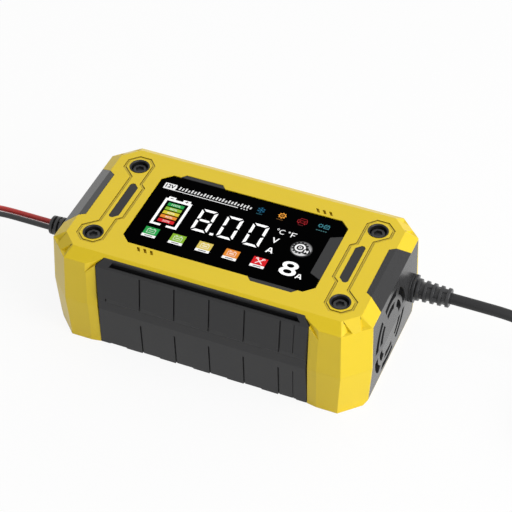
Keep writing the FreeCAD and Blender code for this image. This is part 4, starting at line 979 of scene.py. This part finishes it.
@dataclass
class StatusTiles(DisplayPart):
    """Five status tiles, each with a small sign and a pale strip below."""

    lefts: tuple[float, ...] = (-49.1, -32.5, -15.8, 0.7, 17.5)
    width: float = 8.5
    tile: Pair = (-20.75, -14.6)
    strip: Pair = (-22.9, -20.8)
    line: float = -21.9

    def battery_sign(self, sign: Marks, x: float, level: float) -> None:
        """Adds a small battery with a level in it.

        Args:
            sign: where it goes.
            x: its middle, in millimetres.
            level: how thick the level is.
        """
        sign.frame(x - 2.6, x + 2.6, -19.6, -16.2, 0.42)
        sign.box(x - 1.9, x - 0.8, -16.2, -15.5).box(x + 0.8, x + 1.9, -16.2, -15.5)
        sign.bar((x - 1.4, -17.9), (x + 1.4, -17.9), level)

    def repair_sign(self, sign: Marks, x: float) -> None:
        """Adds two crossed tools with open ends.

        Args:
            sign: where it goes.
            x: its middle, in millimetres.
        """
        sign.bar((x - 2.0, -19.6), (x + 2.0, -15.8), 0.65).bar((x - 2.0, -15.8), (x + 2.0, -19.6), 0.65)
        sign.arc((x + 1.9, -15.8), 0.7, 0.45, -30, 250).arc((x - 1.9, -15.8), 0.7, 0.45, -40, 250)

    def build(self) -> None:
        """Makes the tiles with their signs, then all the strips and all the lines on them."""
        strips, lines = self.marks("tile_strips"), self.marks("tile_lines", 1)
        for index, (left, colour) in enumerate(zip(self.lefts, (GREEN, LIME, STRAW, ORANGE, RED))):
            right = left + self.width
            self.marks(f"tile_{index}").box(left, right, *self.tile).finish(HOUSING, colour)
            strips.box(left, right, *self.strip)
            lines.bar((left + 1.9, self.line), (right - 1.9, self.line), 0.7)
            sign, x = self.marks(f"tile_sign_{index}", 1), (left + right) / 2
            if colour is RED:
                self.repair_sign(sign, x)
            else:
                self.battery_sign(sign, x, 0.5 + 0.25 * index)
            sign.finish(HOUSING, paled(colour, 0.8 if colour is RED else 0.5))
        strips.finish(HOUSING, WHITE, 0.85)
        lines.finish(HOUSING, GREY, 0.2)


@dataclass
class StatusSigns(DisplayPart):
    """Four status signs along the top: frost, heat, vehicle and service, each over a row of dashes."""

    frost: Pair = (6.4, 22.8)
    heat: Pair = (19.5, 22.9)
    service: Pair = (43.0, 23.3)
    caption_edges: Pair = (18.9, 19.6)

    def gear(self, marks: Marks, centre: Pair, radius: float, teeth: int) -> None:
        """Adds a gear: a ring with short square teeth round it.

        Args:
            marks: where it goes.
            centre: its middle, in millimetres.
            radius: the ring's radius.
            teeth: how many teeth.
        """
        marks.arc(centre, radius, radius * 0.32)
        marks.spokes(centre, radius * 1.1, radius * 1.5, radius * 0.42, teeth)

    def caption(self, name: str, left: float, right: float, colour: Colour) -> None:
        """Adds a row of five dim dashes under a sign.

        Args:
            name: the piece's name.
            left: where the row starts, in millimetres.
            right: where it ends.
            colour: its linear colour.
        """
        row = self.marks(name)
        pitch = (right - left) / 5
        for index in range(5):
            row.box(left + pitch * index, left + pitch * (index + 0.66), *self.caption_edges)
        row.finish(HOUSING, colour, 0.7)

    def build(self) -> None:
        """Makes each sign and its row of dashes."""
        frost, middle = self.marks("sign_frost"), np.array(self.frost)
        for way in heading(np.pi * (np.arange(3) / 3 + 0.5)):
            frost.bar(middle - way * 2.5, middle + way * 2.5, 0.28)
            for end, lean in ((-1, -1), (-1, 1), (1, -1), (1, 1)):
                root = middle + way * end * 1.3
                frost.bar(root, root + way * end * 0.8 + leftward(way) * lean * 0.7, 0.2)
        frost.finish(HOUSING, (0.012, 0.17, 0.33), 0.6)
        self.caption("caption_frost", 4.6, 8.4, (0.015, 0.10, 0.13))
        heat = self.marks("sign_heat")
        self.gear(heat, self.heat, 1.65, 8)
        heat.arc(self.heat, 0.45, 0.3).finish(HOUSING, (0.90, 0.36, 0.04), 0.8)
        self.caption("caption_heat", 17.2, 21.3, (0.16, 0.07, 0.015))
        vehicle = self.marks("sign_vehicle")
        vehicle.frame(29.0, 35.0, 21.1, 23.4, 0.32).bar((29.8, 23.5), (30.9, 25.0), 0.32)
        vehicle.bar((30.9, 24.9), (33.9, 24.9), 0.32).bar((33.9, 25.0), (34.8, 23.5), 0.32)
        vehicle.bar((30.0, 22.3), (31.2, 22.3), 0.45).bar((32.8, 22.3), (34.0, 22.3), 0.45)
        vehicle.box(29.7, 30.5, 20.3, 21.0).box(33.5, 34.3, 20.3, 21.0)
        vehicle.finish(HOUSING, (0.42, 0.008, 0.014), 0.6)
        self.caption("caption_vehicle", 30.4, 33.6, (0.11, 0.006, 0.010))
        service = self.marks("sign_service")
        self.gear(service, self.service, 1.1, 7)
        service.frame(45.1, 48.3, 21.6, 24.5, 0.38).bar((45.6, 24.9), (46.4, 24.9), 0.45)
        service.bar((47.0, 24.9), (47.8, 24.9), 0.45).bar((45.9, 23.0), (47.5, 23.0), 0.35)
        service.finish(HOUSING, (0.06, 0.30, 0.36), 0.65)
        self.caption("caption_service", 41.6, 48.4, (0.05, 0.16, 0.17))


@dataclass
class ButtonFace(DisplayPart):
    """The mode button's face: a cap over its dish, and on it a gear, two rings and the letter M."""

    base: float = field(default_factory=lambda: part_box("mode_button")[1].z)
    cap_thick: float = 0.05 * MM
    cap: float = 5.1
    hub: Pair = (-0.95, 0.6)
    hub_radius: float = 4.15
    tooth: Triple = (4.0, 4.95, 1.15)
    teeth: int = 13
    badge: Pair = (3.4, -1.35)
    badge_radius: float = 2.25

    def build(self) -> None:
        """Makes the cap in the button's own finish, then the marks, each a layer above the last."""
        low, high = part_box("mode_button")
        middle = np.array([(low.x + high.x) / 2, (low.y + high.y) / 2]) / MM
        cap = Marks("button_cap", self.base - self.cap_thick, self.base).disc(middle, self.cap)
        dress(cap.finish(BUTTON, WHITE, 0.0), Finish.BUTTON.material())
        hub, badge = middle + self.hub, middle + self.badge
        gear = self.marks("button_gear").disc(hub, self.hub_radius).spokes(hub, *self.tooth, self.teeth, 0.3)
        gear.finish(BUTTON, INK, 0.0)
        # the white rings get their own light: a painted glow on printed marks
        rings = self.marks("button_rings", 1).arc(hub, 2.65, 1.1).arc(hub, 0.85, 0.5)
        rings.finish(BUTTON, WHITE, 0.8)
        self.marks("button_badge", 2).disc(badge, self.badge_radius).finish(BUTTON, INK, 0.0)
        # the white M gets its own light: a painted glow on a printed mark
        letter = self.marks("button_letter", 3).letters("M", badge, 2.3, 0.02, 1.1)
        letter.finish(BUTTON, WHITE, 0.75)


# ---------------------------------------------------------------- cords
class Side(Enum):
    """Which way a coil is wound, seen from above."""

    CLOCKWISE = -1
    ANTICLOCKWISE = 1


@dataclass(frozen=True)
class Coil:
    """A flat coil of two layers, wound in on the floor, half a turn up and out on top. Millimetres."""

    x: float
    y: float
    radius: float
    pitch: float
    rise: float
    side: Side
    start: float
    turns: float = 2.25
    climb: float = 0.5

    @property
    def total(self) -> float:
        """How many turns there are in all."""
        return 2 * self.turns + self.climb

    def line(self, diameter: float, per_turn: int = 16) -> np.ndarray:
        """The middle line. The radius shrinks with the turns wound and grows again with those unwound,
        eased by a sine over the climb, and the height follows half a cosine there.

        Args:
            diameter: the cord's diameter.
            per_turn: how many points each turn has.

        Returns:
            Points in millimetres, the last at the coil's end.
        """
        turn = np.linspace(0, self.total, int(self.total * per_turn) + 1)
        share = np.clip((turn - self.turns) / self.climb, 0, 1)
        wound = np.minimum(np.minimum(turn, self.turns), self.total - turn)
        wound = wound + np.sin(np.pi * share) * self.climb / np.pi
        radius = self.radius - self.pitch * wound
        height = diameter / 2 + self.rise * (0.5 - 0.5 * np.cos(np.pi * share))
        way = heading(self.start + self.side.value * 2 * np.pi * turn)
        return np.column_stack((way * radius[:, None] + (self.x, self.y), height))

    def inner(self) -> float:
        """The radius of the innermost turn's middle line."""
        return self.radius - self.pitch * (self.turns + self.climb / np.pi)


@dataclass
class Cord:
    """A round cord along a route, a coil and a tail, with a strap round its coil. Sizes are in millimetres
    and the length is in metres.
    """

    name: str
    diameter: float
    route: list[Triple]
    coil: Coil
    tail: list[Triple]
    length: float
    finish: Finish
    slot: str
    far_end: str
    stiffness: str
    replaced: tuple[str, ...]
    carried: tuple[str, ...]
    strap_angle: float = 0.0
    strap_width: float = 5.0
    strap_thick: float = 0.5

    def build(self) -> bpy.types.Object:
        """Returns:
            The cord.
        """
        coil = self.coil.line(self.diameter)
        points = np.vstack((self.route, coil[1:-1], self.tail)) * MM
        curve = bpy.data.curves.new(self.name, "CURVE")
        curve.dimensions = "3D"
        curve.bevel_depth = self.diameter / 2 * MM
        curve.bevel_resolution = 6
        curve.resolution_u = 6
        curve.use_fill_caps = True
        spline = curve.splines.new("NURBS")
        spline.points.add(len(points) - 1)
        spline.points.foreach_set("co", np.column_stack((points, np.ones(len(points)))).ravel())
        spline.order_u = 3
        spline.use_endpoint_u = True
        cord = placed(self.name, curve)
        dress(cord, self.finish.material())
        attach(cord, HOUSING)
        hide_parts(*self.replaced)
        strap = self.build_strap()
        log.info("%s: %d control points", self.name, len(points))
        return cord

    def build_strap(self) -> bpy.types.Object:
        """The strap round the coil: a flat band carried along a rounded rectangle that stands across it. In
        each of 48 directions the outer point is a corner's centre plus its radius that way, and the inner
        point has the radius less the band's thickness.

        Returns:
            The strap.
        """
        corner = self.diameter / 2
        inner = self.coil.inner() - corner - self.strap_thick
        outer = self.coil.radius + corner + self.strap_thick
        top = self.diameter + self.coil.rise + self.strap_thick
        reach = heading(np.linspace(0, 2 * np.pi, 48, endpoint=False))
        middle = np.array([(outer + inner) / 2, top / 2])
        centres = middle + np.sign(reach) * (middle - (inner, 0) - corner)
        ring, inset = centres + reach * corner, centres + reach * (corner - self.strap_thick)
        sections = np.stack((ring, ring, inset, inset), axis=1)
        across = np.array([-0.5, 0.5, 0.5, -0.5]) * self.strap_width
        way = heading(self.strap_angle)
        flat = sections[..., :1] * way + across[:, None] * leftward(way) + (self.coil.x, self.coil.y)
        points = np.concatenate((flat, sections[..., 1:]), axis=2) * MM
        index = np.arange(sections[..., 0].size).reshape(-1, 4)
        beside, after = np.roll(index, -1, axis=1), np.roll(index, -1, axis=0)
        quads = np.stack((index, beside, np.roll(beside, -1, axis=0), after), axis=2).reshape(-1, 4)
        strap = meshed(self.name + "_strap", points.reshape(-1, 3).tolist(), quads.tolist())
        dress(strap, Finish.STRAP.material())
        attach(strap, HOUSING)
        return strap


def clamp_nodes(colour: str) -> tuple[str, ...]:
    """The CAD nodes of one battery clamp."""
    parts = ("clamp_fixed", "clamp_moving", "jaw_fixed", "jaw_moving", "clamp_pin", "clamp_spring")
    return tuple(f"{colour}_{part}" for part in parts)


def mains_cord() -> Cord:
    """Returns:
        The mains cord, which drops from its boot to the floor, is coiled and runs on to its plug.
    """
    low, high = 3.3, 10.5
    route = [(121.54, 29.0, 31.6), (137.0, 29.0, 31.6), (158.0, 29.2, 31.2), (171.0, 29.5, 27.8),
             (182.0, 29.8, 21.2), (191.5, 30.0, 13.4), (200.5, 30.0, 7.4), (210.0, 30.0, 4.2),
             (218.4, 30.0, low), (225.4, 30.0, low), (232.0, 30.0, low)]
    tail = [(232.0, 30.0, high), (238.6, 30.0, high), (252.0, 30.0, high)]
    coil = Coil(232.0, -13.0, 43.0, 7.7, high - low, Side.CLOCKWISE, math.pi / 2)
    return Cord("mains_cord", 6.6, route, coil, tail, 1.188, Finish.FLEX, "cord_grey", "plug", "medium",
                ("ac_cord", "ac_coil", "ac_tail"), ("mains_plug", "plug_blades", "ac_boot"),
                math.radians(-55), 9.0)


def battery_lead(colour: str, side: Side, across: Sequence[float], length: float, finish: Finish,
                 carried: tuple[str, ...]) -> Cord:
    """Args:
        colour: red or black.
        side: how its coil is wound; the clockwise one lies on the side of positive Y.
        across: the Y of each point of its route, in millimetres.
        length: its length in metres.
        finish: its jacket.
        carried: what hangs on it besides its clamp.

    Returns:
        A lead, which drops from the boot to the floor, is coiled and runs on to its clamp.
    """
    way, low, high = -side.value, 1.65, 5.45
    lane = 7.0 * way
    along = (-118.92, -134.0, -150.5, -160.0, -167.5, -173.0, -178.0, -183.6, -189.2, -195.0, -201.0, -204.0)
    heights = (31.8, 31.8, 31.8, 30.3, 25.9, 19.0, 12.4, 6.6, 3.1, low, low, low)
    tail = [(-204.0, lane, high), (-207.0, lane, high), (-212.0, lane, high), (-222.5, lane, 7.0),
            (-227.5, lane, 7.0)]
    coil = Coil(-204.0, 27.0 * way, 20.0, 3.9, high - low, side, -way * math.pi / 2)
    return Cord(f"{colour}_lead_cord", 3.3, list(zip(along, across, heights)), coil, tail, length, finish,
                f"lead_{colour}", "tool", "medium", (f"{colour}_lead", f"{colour}_coil", f"{colour}_tail"),
                (*clamp_nodes(colour), *carried), math.radians(50 * way))


def make_cords() -> list[Cord]:
    """Returns:
        The mains cord and the two battery leads.
    """
    red = (0.35, 0.35, 0.35, 0.9, 2.0, 3.2, 4.4, 5.6, 6.5, 7.0, 7.0, 7.0)
    black = (-4.35, -4.35, -4.35, -4.7, -5.15, -5.55, -5.95, -6.4, -6.75, -7.0, -7.0, -7.0)
    return [mains_cord(),
            battery_lead("red", Side.CLOCKWISE, red, 0.597, Finish.RED_LEAD, ("dc_boot",)),
            battery_lead("black", Side.ANTICLOCKWISE, black, 0.596, Finish.BLACK_LEAD, ())]


# ---------------------------------------------------------------- studio
@dataclass
class Studio:
    """Floor, surroundings, lamps and camera."""

    camera_place: Triple = (0.2934748, -0.6835709, 0.7388245)
    azimuth: float = 22.3504
    elevation: float = 42.9323
    focal: float = 123.759
    sensor: float = 36.0
    clip: Pair = (0.02, 20.0)
    ambient: float = 0.64
    ambient_slope: Triple = (0.25, 0.48, 0.0)
    floor_white: float = 0.90
    floor_reach: float = 8.0
    floor_grain: float = 4 * MM
    floor_colours: tuple[Colour, Colour] = ((0.87, 0.87, 0.87), (0.89, 0.89, 0.89))
    key_level: float = 0.83
    key_way: Triple = (0.85, -0.2, 0.48)
    key_size: float = 1.3
    key_distance: float = 1.8

    def build_camera(self) -> None:
        """A camera that looks along the azimuth and down by the elevation, with depth of field off."""
        turned, raised = math.radians(self.azimuth), math.radians(self.elevation)
        right = Vector((math.cos(turned), math.sin(turned), 0.0))
        level = math.cos(raised)
        back = Vector((math.sin(turned) * level, -math.cos(turned) * level, math.sin(raised)))
        up = back.cross(right)
        turn = Matrix((right, up, back)).transposed().to_4x4()
        data = bpy.data.cameras.new("camera")
        data.sensor_width = self.sensor
        data.lens = self.focal
        data.clip_start, data.clip_end = self.clip
        data.dof.use_dof = False
        camera = placed("camera", data)
        camera.matrix_world = Matrix.Translation(self.camera_place) @ turn
        bpy.context.scene.camera = camera

    def build_lamp(self) -> None:
        """One large soft lamp from the fan end. Its power, the key level times the square of pi and of the
        distance, gives a white card that faces it the key level.
        """
        data = bpy.data.lights.new("key", "AREA")
        data.shape = "SQUARE"
        data.size = self.key_size
        data.energy = self.key_level * math.pi ** 2 * self.key_distance ** 2
        way = Vector(self.key_way).normalized()
        turn = way.to_track_quat("Z", "Y").to_matrix().to_4x4()
        placed("key", data).matrix_world = Matrix.Translation(way * self.key_distance) @ turn

    def build_world(self) -> None:
        """Plain surroundings: white to camera and gloss; as light, ambient plus slope times way."""
        world = bpy.data.worlds.new("surroundings")
        world.use_nodes = True
        graph = NodeGraph(world.node_tree)
        way = graph.add("ShaderNodeTexCoord").outputs["Generated"]
        sockets = {0: way, 1: self.ambient_slope}
        slope = graph.add("ShaderNodeVectorMath", {"operation": "DOT_PRODUCT"}, sockets)
        seen = graph.looked_at()
        level = (ShaderSocket(graph, slope.outputs["Value"]) + self.ambient) * (1 - seen) + seen
        light = graph.add("ShaderNodeBackground", {}, {"Color": (1.0, 1.0, 1.0), "Strength": level})
        graph.add("ShaderNodeOutputWorld", {}, {"Surface": light.outputs[0]})
        bpy.context.scene.world = world

    def build_floor(self) -> None:
        """A wide pale floor at height 0 that shows white with a soft shadow."""
        far = self.floor_reach
        corners = [(-far, -far, 0.0), (far, -far, 0.0), (far, far, 0.0), (-far, far, 0.0)]
        floor = meshed("floor", corners, [(0, 1, 2, 3)])
        graph = SurfaceGraph("pale_floor")
        grain = graph.noise(self.floor_grain)
        graph.set(Base_Color=graph.mix(grain, *self.floor_colours), Roughness=0.9, Specular_IOR_Level=0.0)
        glow = graph.add("ShaderNodeEmission", {}, {"Color": (1.0, 1.0, 1.0), "Strength": 1.0})
        share = graph.looked_at() * self.floor_white
        sockets = {0: share, 1: graph.shader.outputs[0], 2: glow.outputs[0]}
        cover = graph.add("ShaderNodeMixShader", {}, sockets)
        graph.feed(graph.output.inputs["Surface"], cover.outputs[0])
        dress(floor, graph.material)

    def build(self) -> None:
        """Makes the whole studio and the plain view transform."""
        bpy.context.scene.view_settings.view_transform = "Standard"
        self.build_camera()
        self.build_lamp()
        self.build_world()
        self.build_floor()


def dress_nodes() -> None:
    """Gives every CAD node that shows its finish."""
    for finish in Finish:
        for name in finish.nodes:
            dress(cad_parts[name], finish.material())
            log.info("%s: %s", name, finish.look.name)


def main() -> None:
    """Builds the studio and the cords, dresses the CAD nodes, and draws what the display shows."""
    logging.basicConfig(level=logging.INFO, format="%(name)s %(message)s")
    Studio().build()
    for cord in make_cords():
        cord.build()
    dress_nodes()
    for part in (Reading(), Gauge(), Header(), StatusTiles(), StatusSigns(), ButtonFace()):
        part.build()


if __name__ == "__main__":
    main()
